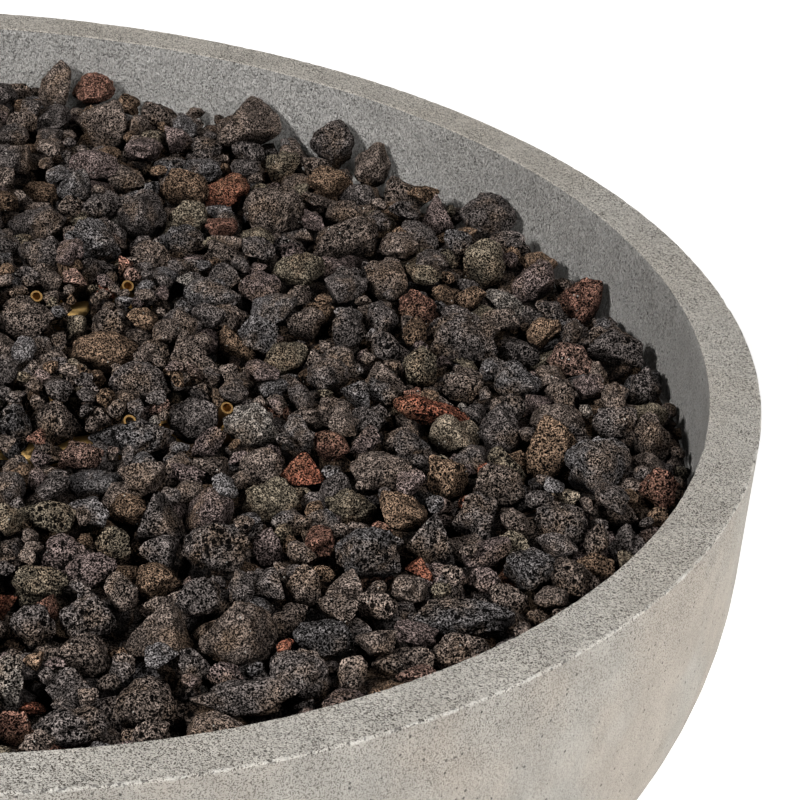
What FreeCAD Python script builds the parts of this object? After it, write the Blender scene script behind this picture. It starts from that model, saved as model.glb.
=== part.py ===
# Round cast concrete fire bowl with a lava rock fill, a brass jet burner and a key valve.
# Millimetres. +Z is up along the bowl's axis, the origin is on the floor under its centre,
# and the key valve is in the back of the bowl, towards +Y.
import FreeCAD, Part
import math
import os
import random

V = FreeCAD.Vector

# Concrete bowl
rim_radius = 609.5
rim_width = 39.0
rim_height = 432.0
rim_outer_round = 2.0
rim_inner_round = 1.5
collar_height = 110.0
curve_reach = 432.0
curve_drop = 335.0
lower_wall = 28.0
slab_thickness = 35.0
base_hole_radius = 75.0
ledge_depth = 90.0
ledge_width = 32.5
ledge_thickness = 20.0
ledge_slope_drop = 46.0

# Rubber pads under the foot
pad_count = 6
pad_radius = 30.0
pad_thickness = 12.0
pad_pocket = 4.0
pad_circle = 268.0

# Drop-in burner pan
pan_sheet = 2.0
pan_depth = 40.0
pan_flange_gap = 4.5
pan_wall_radius = 530.0
pan_weep_count = 8
pan_weep_radius = 4.0
pan_weep_circle = 430.0
pan_hole_gap = 0.6

# Lava rock
rock_gap = 1.0
bed_terraces = ((330.0, 376.0), (460.0, 370.0), (569.5, 361.0))
stone_count = 400
stone_gap = 1.0
smallest_stone = 12.0
stone_height = (11.0, 24.0)
stone_top_slope = 0.3
stone_top_limit = 406.0
stone_seed = 11

# Burner: two bars, turned about the bowl's axis
burner_turn = 17.5
bar_height = 352.0
bar_offset = 105.0
bar_half_length = 202.0
pipe_radius = 10.65
pipe_bore = 7.9
thread_gap = 0.1
tee_reach = 28.0
tee_radius = 13.2
tee_band_radius = 15.2
tee_band_width = 9.0
tee_socket = 12.0
cap_length = 16.0
cap_wall = 3.0
first_jet = 63.0
jet_pitch = 38.0
jets_per_half_bar = 4
jet_lean = 38.0
jet_reach = 46.0
jet_barrel_radius = 4.75
jet_mouth_radius = 3.25
jet_mouth_depth = 12.0
jet_orifice_radius = 1.0
jet_shank_radius = 4.0
jet_collar_flats = 12.0
jet_collar_height = 4.5
jet_collar_gap = 0.2
jet_shank_setback = 0.3

# Riser through the pan
riser_bottom = 250.0
riser_locknut_flats = 34.0
riser_locknut_height = 8.0

# Gas fittings
flare_radius = 9.525
flare_length = 14.0
flare_cone = 4.0
flare_bore = 5.0
adapter_flats = 26.0
adapter_hex = 8.0
adapter_seat_gap = 0.5
riser_adapter_flats = 30.0
nut_flats = 24.0
nut_length = 26.0
nut_gap = 1.0
hose_radius = 8.0
hose_bore = 6.0
hose_end_gap = 1.5
hose_run_share = 0.48

# Key valve, on an axis that runs out through the back wall
valve_height = 240.0
valve_face_y = 580.0
valve_centre_y = 470.0
boss_radius = 55.0
boss_inner_y = 532.0
boss_outer_y = 560.0
spotface_radius = 38.0
wall_hole_radius = 15.6
valve_barrel_radius = 18.5
valve_end_flats = 32.0
valve_half_length = 36.0
valve_hex_length = 16.0
valve_port_radius = 6.5
valve_socket_radius = 10.4
valve_socket_depth = 14.0
seat_outer_radius = 14.4
seat_inner_x = 7.0
seat_outer_x = 13.0
spigot_length = 5.0
ball_radius = 12.5
running_gap = 0.3
ball_slot_width = 2.0
ball_slot_depth = 3.0
neck_radius = 13.0
neck_end_y = 508.0
neck_bore_radius = 7.0
neck_bore_depth = 9.0
stem_radius = 4.0
stem_gap = 0.1
tang_height = 7.0
stem_square = 7.0
stem_square_start_y = 515.0
stem_end_y = 533.0
packing_nut_flats = 17.0
sleeve_radius = 15.0
sleeve_start_y = 496.0
sleeve_end_y = 584.0
sleeve_locknut_flats = 46.0
sleeve_locknut_height = 8.0
escutcheon_radius = 32.0
escutcheon_edge = 3.0
escutcheon_lip = 4.0
escutcheon_front_y = 588.0
key_hole_radius = 9.0
key_start_y = 516.0
key_socket_end_y = 546.0
key_socket_radius = 7.5
key_socket_play = 0.6
key_shaft_radius = 5.0
key_handle_y = 600.0
key_handle_half_width = 22.0
key_handle_radius = 4.6

# How far a cutting shape runs past the face that it opens
overrun = 20.0

# Worked out from the sizes above
foot_height = pad_thickness - pad_pocket
collar_bottom = rim_height - collar_height
curve_centre_radius = rim_radius - curve_reach
inner_radius = rim_radius - rim_width
ledge_top = rim_height - ledge_depth
pan_floor = ledge_top - pan_depth
slab_top = foot_height + slab_thickness


def save(name, shapes):
    """Writes one sub-part, a solid or a group of separate solids."""
    solids = shapes if isinstance(shapes, list) else [shapes]
    for solid in solids:
        if not solid.isValid() or len(solid.Solids) != 1:
            raise ValueError(name + " holds a shape that is not one sound solid")
    whole = solids[0] if len(solids) == 1 else Part.makeCompound(solids)
    whole.exportStep(os.path.join("parts", name + ".step"))
    volume = sum(solid.Volume for solid in solids) / 1000.0
    print("%-20s %4d solids %10.1f cm3" % (name, len(solids), volume))


def rod(radius, start, end):
    """Cylinder between two points."""
    return Part.makeCylinder(radius, (end - start).Length, start, end - start)


def tube(radius, bore, start, end):
    """Rod with a bore right through it."""
    return rod(radius, start, end).cut(rod(bore, start, end))


def cone(first_radius, last_radius, start, end):
    """Cone between two points."""
    return Part.makeCone(first_radius, last_radius, (end - start).Length, start, end - start)


def hexagon(flats, start, end):
    """Hexagonal bar between two points, with its flats this far apart."""
    direction = end - start
    corner = flats / math.sqrt(3.0)
    ring = [V(corner * math.cos(math.radians(60 * i)), corner * math.sin(math.radians(60 * i)), 0)
            for i in range(7)]
    bar = Part.Face(Part.makePolygon(ring)).extrude(V(0, 0, direction.Length))
    bar.Placement = FreeCAD.Placement(start, FreeCAD.Rotation(V(0, 0, 1), direction))
    return bar


def revolve(points):
    """Turns a closed outline of (radius, height) points about the Z axis."""
    corners = [V(radius, 0, height) for radius, height in points]
    outline = Part.makePolygon(corners + corners[:1])
    return Part.Face(outline).revolve(V(0, 0, 0), V(0, 0, 1), 360)


def turned(shape):
    """Turns a shape made along the X axis into the burner's own direction."""
    copy = shape.copy()
    copy.rotate(V(0, 0, 0), V(0, 0, 1), burner_turn)
    return copy


def wall_curve(inset, low_height, high_height):
    """Stretch of the bowl wall's ellipse between two heights, this far inside the outer wall."""
    reach = curve_reach - inset
    drop = curve_drop - inset
    centre = V(curve_centre_radius, 0, collar_bottom)
    ellipse = Part.Ellipse(centre + V(reach, 0, 0), centre + V(0, 0, drop), centre)
    low_angle = math.asin((low_height - collar_bottom) / drop)
    high_angle = math.asin((high_height - collar_bottom) / drop)
    return Part.Arc(ellipse, low_angle, high_angle).toShape()


def line(first, last):
    """Straight edge of the cross-section, between two (radius, height) points."""
    return Part.LineSegment(V(first[0], 0, first[1]), V(last[0], 0, last[1])).toShape()


def rounding(centre, radius, first_angle, last_angle):
    """Quarter-round edge of the cross-section. Angles are in degrees up from the outward direction."""
    angles = [math.radians(angle) for angle in (first_angle, (first_angle + last_angle) / 2.0, last_angle)]
    points = [V(centre[0] + radius * math.cos(a), 0, centre[1] + radius * math.sin(a)) for a in angles]
    return Part.Arc(*points).toShape()


def end_point(edge, last):
    """(radius, height) of an edge's first or last point."""
    point = edge.valueAt(edge.LastParameter if last else edge.FirstParameter)
    return (point.x, point.z)


def bowl_outline():
    """Closed cross-section of the concrete: foot, outer wall, rim, ledge for the pan, cavity, slab."""
    outer_curve = wall_curve(0.0, foot_height, collar_bottom)
    ledge_radius = inner_radius - ledge_width
    ledge_bottom = ledge_top - ledge_thickness
    cavity_curve = wall_curve(lower_wall, slab_top, ledge_bottom - ledge_slope_drop)
    foot_edge = end_point(outer_curve, last=False)
    slab_edge = end_point(cavity_curve, last=False)
    slope_foot = end_point(cavity_curve, last=True)
    outer_round_height = rim_height - rim_outer_round
    inner_round_height = rim_height - rim_inner_round
    return [
        line((base_hole_radius, foot_height), foot_edge),
        outer_curve,
        line((rim_radius, collar_bottom), (rim_radius, outer_round_height)),
        rounding((rim_radius - rim_outer_round, outer_round_height), rim_outer_round, 0, 90),
        line((rim_radius - rim_outer_round, rim_height), (inner_radius + rim_inner_round, rim_height)),
        rounding((inner_radius + rim_inner_round, inner_round_height), rim_inner_round, 90, 180),
        line((inner_radius, inner_round_height), (inner_radius, ledge_top)),
        line((inner_radius, ledge_top), (ledge_radius, ledge_top)),
        line((ledge_radius, ledge_top), (ledge_radius, ledge_bottom)),
        line((ledge_radius, ledge_bottom), slope_foot),
        cavity_curve,
        line(slab_edge, (base_hole_radius, slab_top)),
        line((base_hole_radius, slab_top), (base_hole_radius, foot_height)),
    ]


def pad_centres(height):
    """Where the pads' axes meet a height."""
    step = 2.0 * math.pi / pad_count
    angles = [(i + 0.5) * step for i in range(pad_count)]
    return [V(pad_circle * math.cos(angle), pad_circle * math.sin(angle), height) for angle in angles]


def bowl_shell():
    """Cast bowl with a boss, a flat seat and a hole for the valve, and pockets for the pads."""
    wire = Part.Wire(Part.__sortEdges__(bowl_outline()))
    shell = Part.Face(wire).revolve(V(0, 0, 0), V(0, 0, 1), 360)
    boss = rod(boss_radius, V(0, boss_inner_y, valve_height), V(0, boss_outer_y, valve_height))
    seat = rod(spotface_radius, V(0, valve_face_y, valve_height), V(0, rim_radius + overrun, valve_height))
    hole_start = V(0, boss_inner_y - overrun, valve_height)
    hole = rod(wall_hole_radius, hole_start, V(0, valve_face_y + overrun, valve_height))
    shell = shell.fuse(boss)
    for cutter in [seat, hole]:
        shell = shell.cut(cutter)
    for centre in pad_centres(foot_height):
        shell = shell.cut(Part.makeCylinder(pad_radius + thread_gap, pad_pocket, centre))
    return shell.removeSplitter().Solids[0]


def foot_pads():
    """Rubber discs with a small bevel where they meet the floor."""
    bevel = 1.5
    outline = [(0, 0), (pad_radius - bevel, 0), (pad_radius, bevel), (pad_radius, pad_thickness),
               (0, pad_thickness)]
    pad = revolve(outline)
    return [pad.translated(centre) for centre in pad_centres(0.0)]


def burner_pan():
    """Flanged steel pan with weep holes and a hole for the riser."""
    flange_radius = inner_radius - pan_flange_gap
    wall_inside = pan_wall_radius - pan_sheet
    outline = [
        (0, pan_floor), (pan_wall_radius, pan_floor), (pan_wall_radius, ledge_top),
        (flange_radius, ledge_top), (flange_radius, ledge_top + pan_sheet),
        (wall_inside, ledge_top + pan_sheet), (wall_inside, pan_floor + pan_sheet),
        (0, pan_floor + pan_sheet),
    ]
    pan = revolve(outline)
    through = V(0, 0, pan_sheet + 2 * overrun)
    centre = V(0, 0, pan_floor - overrun)
    pan = pan.cut(rod(pipe_radius + pan_hole_gap, centre, centre + through))
    for i in range(pan_weep_count):
        angle = 2.0 * math.pi * i / pan_weep_count
        foot = centre + V(pan_weep_circle * math.cos(angle), pan_weep_circle * math.sin(angle), 0)
        pan = pan.cut(rod(pan_weep_radius, foot, foot + through))
    return pan


def bar_ends():
    """Sides of the burner on which its two bars lie."""
    return (-1, 1)


def tee(centre, run, branch):
    """Pipe tee with a band round each socket. Run and branch are the ways to an end of each."""
    body = rod(tee_radius, centre - run, centre + run).fuse(rod(tee_radius, centre, centre + branch))
    bore = rod(pipe_bore, centre - run, centre + run).fuse(rod(pipe_bore, centre, centre + branch))
    for way in (run, run * -1.0, branch):
        tip = centre + way
        body = body.fuse(rod(tee_band_radius, tip - way * (tee_band_width / tee_reach), tip))
        bore = bore.fuse(rod(pipe_radius + thread_gap, tip - way * (tee_socket / tee_reach), tip))
    return body.cut(bore).Solids[0]


def burner_hub():
    """Tee in the middle: two ports for the crossbar and one down to the riser."""
    return turned(tee(V(0, 0, bar_height), V(0, tee_reach, 0), V(0, 0, -tee_reach)))


def bar_tees():
    """Tees that join the crossbar to the middle of each bar. One is the other, turned half round."""
    rear = turned(tee(V(0, bar_offset, bar_height), V(tee_reach, 0, 0), V(0, -tee_reach, 0)))
    front = rear.copy()
    front.rotate(V(0, 0, 0), V(0, 0, 1), 180)
    return [front, rear]


def crossbar_nipples():
    """Short pipes from the hub to each bar's tee."""
    start = tee_reach - tee_socket
    end = bar_offset - tee_reach + tee_socket
    return [turned(tube(pipe_radius, pipe_bore, V(0, side * start, bar_height), V(0, side * end, bar_height)))
            for side in bar_ends()]


def jet_places():
    """Place of each jet along its bar, and the side it leans to: every other one faces the other way."""
    places = []
    for half in (-1, 1):
        for i in range(jets_per_half_bar):
            lean_side = -1 if i % 2 else 1
            places.append((half * (first_jet + i * jet_pitch), lean_side))
    return places


def jet_axis(bar_side, along, lean_side):
    """Foot of a jet on its bar's axis, and the direction in which it points."""
    foot = V(along, bar_side * bar_offset, bar_height)
    lean = math.radians(jet_lean)
    return foot, V(0, lean_side * math.sin(lean), math.cos(lean))


def bar_pipes():
    """Four half bars, each drilled for its jets."""
    pipes = []
    start = tee_reach - tee_socket
    for bar_side in bar_ends():
        for half in (-1, 1):
            near = V(half * start, bar_side * bar_offset, bar_height)
            far = V(half * bar_half_length, bar_side * bar_offset, bar_height)
            pipe = tube(pipe_radius, pipe_bore, near, far)
            for along, lean_side in jet_places():
                if along * half > 0:
                    foot, direction = jet_axis(bar_side, along, lean_side)
                    hole_end = foot + direction * (pipe_radius + thread_gap)
                    pipe = pipe.cut(rod(jet_shank_radius + thread_gap, foot, hole_end))
            pipes.append(turned(pipe))
    return pipes


def bar_end_caps():
    """Round caps that close the bars."""
    caps = []
    for bar_side in bar_ends():
        for half in (-1, 1):
            inner = V(half * (bar_half_length - cap_length + cap_wall), bar_side * bar_offset, bar_height)
            seat = V(half * bar_half_length, bar_side * bar_offset, bar_height)
            outer = seat + V(half * cap_wall, 0, 0)
            cap = rod(tee_radius, inner, outer)
            caps.append(turned(cap.cut(rod(pipe_radius + thread_gap, inner, seat))))
    return caps


def jet(foot, direction):
    """Brass jet: threaded shank, hexagon collar and a barrel with an open mouth over a fine orifice."""
    collar_start = foot + direction * (pipe_radius + jet_collar_gap)
    collar_end = collar_start + direction * jet_collar_height
    tip = foot + direction * jet_reach
    mouth_floor = tip - direction * jet_mouth_depth
    shank_start = foot + direction * (pipe_bore + jet_shank_setback)
    body = hexagon(jet_collar_flats, collar_start, collar_end)
    body = body.fuse(rod(jet_barrel_radius, collar_end, tip))
    body = body.fuse(rod(jet_shank_radius, shank_start, collar_start))
    body = body.cut(rod(jet_mouth_radius, mouth_floor, tip))
    body = body.cut(rod(jet_orifice_radius, shank_start, mouth_floor))
    return turned(body)


def burner_jets(bar_side):
    """All the jets of one bar."""
    return [jet(*jet_axis(bar_side, along, lean_side)) for along, lean_side in jet_places()]


def burner_riser():
    """Nipple from the hub down through the pan."""
    top = bar_height - tee_reach + tee_socket
    return tube(pipe_radius, pipe_bore, V(0, 0, riser_bottom), V(0, 0, top))


def riser_locknuts():
    """Nuts above and below the pan's floor."""
    nuts = []
    for low in (pan_floor - riser_locknut_height, pan_floor + pan_sheet):
        nut = hexagon(riser_locknut_flats, V(0, 0, low), V(0, 0, low + riser_locknut_height))
        hole = rod(pipe_radius + thread_gap, V(0, 0, low), V(0, 0, low + riser_locknut_height))
        nuts.append(nut.cut(hole))
    return nuts


def flare_end(hex_end, direction):
    """Flare nose beyond an adapter's hexagon, with its cone."""
    nose_end = hex_end + direction * flare_length
    tip = nose_end + direction * flare_cone
    nose = rod(flare_radius, hex_end, nose_end)
    return nose.fuse(cone(flare_radius, flare_radius - flare_cone, nose_end, tip))


def riser_adapter():
    """Socket on the riser's foot with a flare nose pointing down."""
    down = V(0, 0, -1)
    socket_top = V(0, 0, riser_bottom + tee_socket)
    hex_end = V(0, 0, riser_bottom - adapter_hex)
    body = hexagon(riser_adapter_flats, hex_end, socket_top).fuse(flare_end(hex_end, down))
    body = body.cut(rod(pipe_radius + thread_gap, V(0, 0, riser_bottom), socket_top))
    return body.cut(rod(flare_bore, hex_end + down * (flare_length + flare_cone), V(0, 0, riser_bottom)))


def side_adapter(side):
    """Adapter in a side port of the valve, with its flare nose pointing outwards along X."""
    direction = V(side, 0, 0)
    centre = V(0, valve_centre_y, valve_height)
    shank_start = centre + direction * (valve_half_length - valve_socket_depth + adapter_seat_gap)
    hex_start = centre + direction * (valve_half_length + adapter_seat_gap)
    hex_end = hex_start + direction * adapter_hex
    body = rod(valve_socket_radius - thread_gap, shank_start, hex_start)
    body = body.fuse(hexagon(adapter_flats, hex_start, hex_end)).fuse(flare_end(hex_end, direction))
    return body.cut(rod(flare_bore, shank_start, hex_end + direction * (flare_length + flare_cone)))


def flare_nut(seat, direction):
    """Nut that holds the hose on a flare nose. The seat is the hexagon's face behind the nose."""
    start = seat + direction * nut_gap
    nose_end = seat + direction * (flare_length + flare_cone + nut_gap)
    end = start + direction * nut_length
    nut = hexagon(nut_flats, start, end)
    nut = nut.cut(rod(flare_radius + thread_gap, start, nose_end))
    return nut.cut(rod(hose_radius + thread_gap, nose_end, end))


def hose_ends():
    """Faces behind the two flare noses that the hose joins, with the direction each nose points in."""
    riser_seat = V(0, 0, riser_bottom - adapter_hex)
    valve_seat = V(valve_half_length + adapter_seat_gap + adapter_hex, valve_centre_y, valve_height)
    return (riser_seat, V(0, 0, -1)), (valve_seat, V(1, 0, 0))


def hose_nuts():
    """Nuts on both ends of the hose."""
    return [flare_nut(seat, direction) for seat, direction in hose_ends()]


def hose_route():
    """Points from the riser down to the cavity floor, round the side of the cavity and up to the valve."""
    (riser_seat, down), (valve_seat, outwards) = hose_ends()
    nose = flare_length + flare_cone + hose_end_gap
    return [
        riser_seat + down * nose,
        V(0, 0, 138),
        V(60, 20, 78),
        V(185, 75, 68),
        V(290, 190, 92),
        V(305, 335, 150),
        V(240, 440, 212),
        V(150, valve_centre_y, valve_height),
        valve_seat + outwards * nose,
    ]


def smooth_path(points):
    """Straight runs joined by tangent arcs, as large as the two runs beside each arc allow."""
    edges = []
    position = points[0]
    for before, corner, after in zip(points, points[1:], points[2:]):
        run_in = corner - before
        run_out = after - corner
        turn = run_in.getAngle(run_out)
        reach = hose_run_share * min(run_in.Length, run_out.Length)
        radius = reach / math.tan(turn / 2.0)
        way_in = run_in.normalize()
        way_out = run_out.normalize()
        arc_start = corner - way_in * reach
        arc_end = corner + way_out * reach
        to_centre = (way_out - way_in).normalize()
        depth = radius / math.cos(turn / 2.0) - radius
        edges.append(Part.LineSegment(position, arc_start).toShape())
        edges.append(Part.Arc(arc_start, corner + to_centre * depth, arc_end).toShape())
        print("hose turn of %4.1f degrees, radius %5.1f" % (math.degrees(turn), radius))
        position = arc_end
    edges.append(Part.LineSegment(position, points[-1]).toShape())
    return Part.Wire(edges)


def gas_hose():
    """Coated flexible gas connector, one round bore from end to end."""
    path = smooth_path(hose_route())
    start = hose_route()[0]
    skins = []
    for radius in (hose_radius, hose_bore):
        circle = Part.Wire(Part.Circle(start, V(0, 0, 1), radius).toShape())
        skins.append(path.makePipeShell([circle], True, False))
    hose = skins[0].cut(skins[1])
    section = math.pi * (hose_radius ** 2 - hose_bore ** 2)
    print("hose length %.1f, volume over section times length %.4f"
          % (path.Length, hose.Volume / (section * path.Length)))
    return hose.Solids[0]


def valve_body():
    """Body with a side port, a bore for the ball and a neck for the stem."""
    centre = V(0, valve_centre_y, valve_height)
    left_end = centre - V(valve_half_length, 0, 0)
    hex_end = left_end + V(valve_hex_length, 0, 0)
    right_face = centre + V(seat_outer_x + spigot_length, 0, 0)
    port_start = left_end + V(valve_socket_depth, 0, 0)
    bore_start = centre - V(seat_outer_x, 0, 0)
    neck_end = V(0, neck_end_y, valve_height)
    body = hexagon(valve_end_flats, left_end, hex_end)
    body = body.fuse(rod(valve_barrel_radius, hex_end, right_face))
    body = body.fuse(rod(neck_radius, centre, neck_end))
    body = body.cut(rod(valve_socket_radius, left_end, port_start))
    body = body.cut(rod(valve_port_radius, port_start, bore_start))
    body = body.cut(rod(seat_outer_radius + thread_gap, bore_start, right_face))
    body = body.cut(rod(stem_radius + stem_gap, centre, neck_end))
    body = body.cut(rod(neck_bore_radius + thread_gap, neck_end - V(0, neck_bore_depth, 0), neck_end))
    return body.removeSplitter().Solids[0]


def valve_end_piece():
    """Screwed end of the body, which holds the seats against the ball."""
    centre = V(0, valve_centre_y, valve_height)
    spigot_start = centre + V(seat_outer_x, 0, 0)
    hex_start = centre + V(seat_outer_x + spigot_length, 0, 0)
    end = centre + V(valve_half_length, 0, 0)
    socket_start = end - V(valve_socket_depth, 0, 0)
    piece = rod(seat_outer_radius, spigot_start, hex_start).fuse(hexagon(valve_end_flats, hex_start, end))
    piece = piece.cut(rod(valve_port_radius, spigot_start, end))
    return piece.cut(rod(valve_socket_radius, socket_start, end))


def valve_seats():
    """Two rings, each hollowed to the ball."""
    centre = V(0, valve_centre_y, valve_height)
    clearance = Part.makeSphere(ball_radius + running_gap, centre)
    seats = []
    for side in (-1, 1):
        start = centre + V(side * seat_inner_x, 0, 0)
        end = centre + V(side * seat_outer_x, 0, 0)
        seats.append(tube(seat_outer_radius, valve_port_radius, start, end).cut(clearance))
    return seats


def valve_ball():
    """Ball with its bore across the flow, as when the valve is shut, and a slot for the stem."""
    centre = V(0, valve_centre_y, valve_height)
    ball = Part.makeSphere(ball_radius, centre)
    ball = ball.cut(rod(valve_port_radius, centre - V(0, 0, overrun), centre + V(0, 0, overrun)))
    slot_floor = V(-ball_slot_width / 2.0, ball_radius - ball_slot_depth, -overrun)
    slot = Part.makeBox(ball_slot_width, overrun, 2 * overrun, centre + slot_floor)
    return ball.cut(slot).Solids[0]


def valve_stem():
    """Stem with a tang in the ball's slot and a square outer end for the key."""
    tang_start = valve_centre_y + ball_radius - ball_slot_depth + running_gap
    round_start = valve_centre_y + ball_radius + running_gap
    tang_width = ball_slot_width - 2 * stem_gap
    tang = Part.makeBox(tang_width, round_start - tang_start, tang_height,
                        V(-tang_width / 2.0, tang_start, valve_height - tang_height / 2.0))
    square_start = V(0, stem_square_start_y, valve_height)
    square_end = V(0, stem_end_y, valve_height)
    barrel = rod(stem_radius, V(0, round_start, valve_height), square_start)
    half = stem_square / 2.0
    square = Part.makeBox(stem_square, stem_end_y - stem_square_start_y, stem_square,
                          square_start - V(half, 0, half))
    square = square.common(rod(1.25 * half, square_start, square_end))
    return barrel.fuse(tang).fuse(square).Solids[0]


def valve_packing_nut():
    """Nut that squeezes the packing round the stem."""
    shank_start = V(0, neck_end_y - neck_bore_depth + nut_gap, valve_height)
    hex_start = V(0, neck_end_y + adapter_seat_gap, valve_height)
    end = V(0, stem_square_start_y - nut_gap, valve_height)
    nut = rod(neck_bore_radius, shank_start, hex_start).fuse(hexagon(packing_nut_flats, hex_start, end))
    return nut.cut(rod(stem_radius + stem_gap, shank_start, end))


def valve_sleeve():
    """Threaded tube that carries the valve and passes through the wall."""
    start = V(0, sleeve_start_y, valve_height)
    return tube(sleeve_radius, neck_radius + thread_gap, start, V(0, sleeve_end_y, valve_height))


def valve_locknut():
    """Nut on the sleeve, drawn up against the boss inside the bowl."""
    start = V(0, boss_inner_y - sleeve_locknut_height, valve_height)
    end = V(0, boss_inner_y, valve_height)
    return hexagon(sleeve_locknut_flats, start, end).cut(rod(sleeve_radius + thread_gap, start, end))


def valve_escutcheon():
    """Round flange on the sleeve's outer end, with the key hole in its middle."""
    back = V(0, valve_face_y, valve_height)
    flange_end = back + V(0, escutcheon_edge, 0)
    front = V(0, escutcheon_front_y, valve_height)
    flange = rod(escutcheon_radius, back, flange_end)
    flange = flange.fuse(cone(escutcheon_radius, key_hole_radius + escutcheon_lip, flange_end, front))
    flange = flange.cut(rod(sleeve_radius + thread_gap, back, V(0, sleeve_end_y, valve_height)))
    return flange.cut(rod(key_hole_radius, back, front))


def key_shaft():
    """Rod of the key, with a square socket that fits the stem."""
    start = V(0, key_start_y, valve_height)
    socket_end = V(0, key_socket_end_y, valve_height)
    end = V(0, key_handle_y - key_handle_radius - thread_gap, valve_height)
    body = rod(key_socket_radius, start, socket_end).fuse(rod(key_shaft_radius, socket_end, end))
    width = stem_square + key_socket_play
    depth = stem_end_y - key_start_y + nut_gap
    socket = Part.makeBox(width, depth, width, start - V(width / 2.0, 0, width / 2.0))
    return body.cut(socket)


def key_handle():
    """Cross handle of the key, with rounded ends."""
    centre = V(0, key_handle_y, valve_height)
    reach = key_handle_half_width - key_handle_radius
    handle = rod(key_handle_radius, centre - V(reach, 0, 0), centre + V(reach, 0, 0))
    for side in (-1, 1):
        handle = handle.fuse(Part.makeSphere(key_handle_radius, centre + V(side * reach, 0, 0)))
    return handle.removeSplitter().Solids[0]


def burner_envelope():
    """Space that the burner takes in the rock: an H of trenches over the pan, and a way out for each jet."""
    half_width = riser_locknut_flats / math.sqrt(3.0) + rock_gap
    low = pan_floor
    height = bar_height + tee_band_radius + rock_gap - low
    bar_length = 2.0 * (bar_half_length + cap_wall + rock_gap)
    plan = Part.makeBox(2.0 * half_width, 2.0 * bar_offset, height, V(-half_width, -bar_offset, low))
    for bar_side in bar_ends():
        corner = V(-bar_length / 2.0, bar_side * bar_offset - half_width, low)
        plan = plan.fuse(Part.makeBox(bar_length, 2.0 * half_width, height, corner))
    spaces = [plan.removeSplitter()]
    for bar_side in bar_ends():
        for along, lean_side in jet_places():
            foot, direction = jet_axis(bar_side, along, lean_side)
            spaces.append(rod(jet_barrel_radius + rock_gap, foot, foot + direction * jet_reach))
    return [turned(space) for space in spaces]


def lava_rock_bed():
    """Lower rock layer: it fills the pan and steps down from the middle to the wall."""
    wall_inside = pan_wall_radius - pan_sheet
    flange_top = ledge_top + pan_sheet
    outer = bed_terraces[-1][0]
    outline = [(0, pan_floor + pan_sheet), (wall_inside, pan_floor + pan_sheet), (wall_inside, flange_top),
               (outer, flange_top)]
    for i in reversed(range(len(bed_terraces))):
        radius, height = bed_terraces[i]
        inner = bed_terraces[i - 1][0] if i else 0
        outline += [(radius, height), (inner, height)]
    bed = revolve(outline)
    for part in burner_envelope():
        bed = bed.cut(part)
    return bed.Solids[0]


def bed_height(distance):
    """Height of the bed's top at a distance from the axis."""
    for radius, height in bed_terraces:
        if distance <= radius:
            return height
    return bed_terraces[-1][1]


def jet_footprints():
    """Plan points along every jet where it stands clear of the bed."""
    turn = FreeCAD.Rotation(V(0, 0, 1), burner_turn)
    marks = []
    for bar_side in bar_ends():
        for along, lean_side in jet_places():
            foot, direction = jet_axis(bar_side, along, lean_side)
            for share in (0.5, 0.65, 0.8, 1.0):
                mark = turn.multVec(foot + direction * (jet_reach * share))
                marks.append(V(mark.x, mark.y, 0))
    return marks


def stone(rng, x, y, base, radius, height):
    """Broken stone: a flat base, a wider girdle, and sides that lean in to a tilted top."""
    sides = rng.choice((5, 5, 6))
    start = rng.uniform(0, 2 * math.pi)
    foot_share = rng.uniform(0.72, 0.88)
    girdle_height = base + height * rng.uniform(0.3, 0.45)
    foot = []
    girdle = []
    for i in range(sides):
        angle = start + 2 * math.pi * (i + rng.uniform(-0.22, 0.22)) / sides
        reach = radius * rng.uniform(0.88, 1.0)
        out = V(reach * math.cos(angle), reach * math.sin(angle), 0)
        girdle.append(V(x, y, girdle_height) + out)
        foot.append(V(x, y, base) + out * foot_share)
    apex = V(x + rng.uniform(-0.3, 0.3) * radius, y + rng.uniform(-0.3, 0.3) * radius,
             base + height * rng.uniform(2.2, 3.2))
    steepest = stone_top_slope * height / radius
    slope_x = rng.uniform(-steepest, steepest)
    slope_y = rng.uniform(-steepest, steepest)
    top = []
    for corner in girdle:
        way = apex - corner
        rise = way.z - slope_x * way.x - slope_y * way.y
        start_drop = base + height + slope_x * (corner.x - x) + slope_y * (corner.y - y) - corner.z
        top.append(corner + way * (start_drop / rise))
    faces = [Part.Face(Part.makePolygon(ring + ring[:1])) for ring in (foot, top)]
    for low, high in ((foot, girdle), (girdle, top)):
        for i in range(sides):
            j = (i + 1) % sides
            faces.append(Part.Face(Part.makePolygon([low[i], low[j], high[j], high[i], low[i]])))
    return Part.Solid(Part.Shell(faces))


def lava_rock_stones():
    """Upper rock layer: separate stones on the bed, spread evenly by the golden angle."""
    rng = random.Random(stone_seed)
    golden_angle = math.pi * (3.0 - math.sqrt(5.0))
    spacing = inner_radius / math.sqrt(stone_count)
    outer = inner_radius - rock_gap - spacing * 0.9
    places = []
    for i in range(stone_count):
        distance = outer * math.sqrt((i + 0.5) / stone_count)
        places.append(V(distance * math.cos(i * golden_angle), distance * math.sin(i * golden_angle), 0))
    jets = jet_footprints()
    stones = []
    for place in places:
        nearest = min((other - place).Length for other in places if other is not place)
        room = min(nearest / 2.0, inner_radius - place.Length) - stone_gap
        jet_room = min((mark - place).Length for mark in jets) - jet_barrel_radius - rock_gap
        radius = min(room, jet_room)
        height = rng.uniform(*stone_height)
        if radius < smallest_stone:
            continue
        base = bed_height(max(place.Length - radius, 0.0))
        stones.append(stone(rng, place.x, place.y, base, radius, height))
    top = max(piece.BoundBox.ZMax for piece in stones)
    if top > stone_top_limit:
        raise ValueError("a stone stands %.1f high" % top)
    return stones


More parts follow.
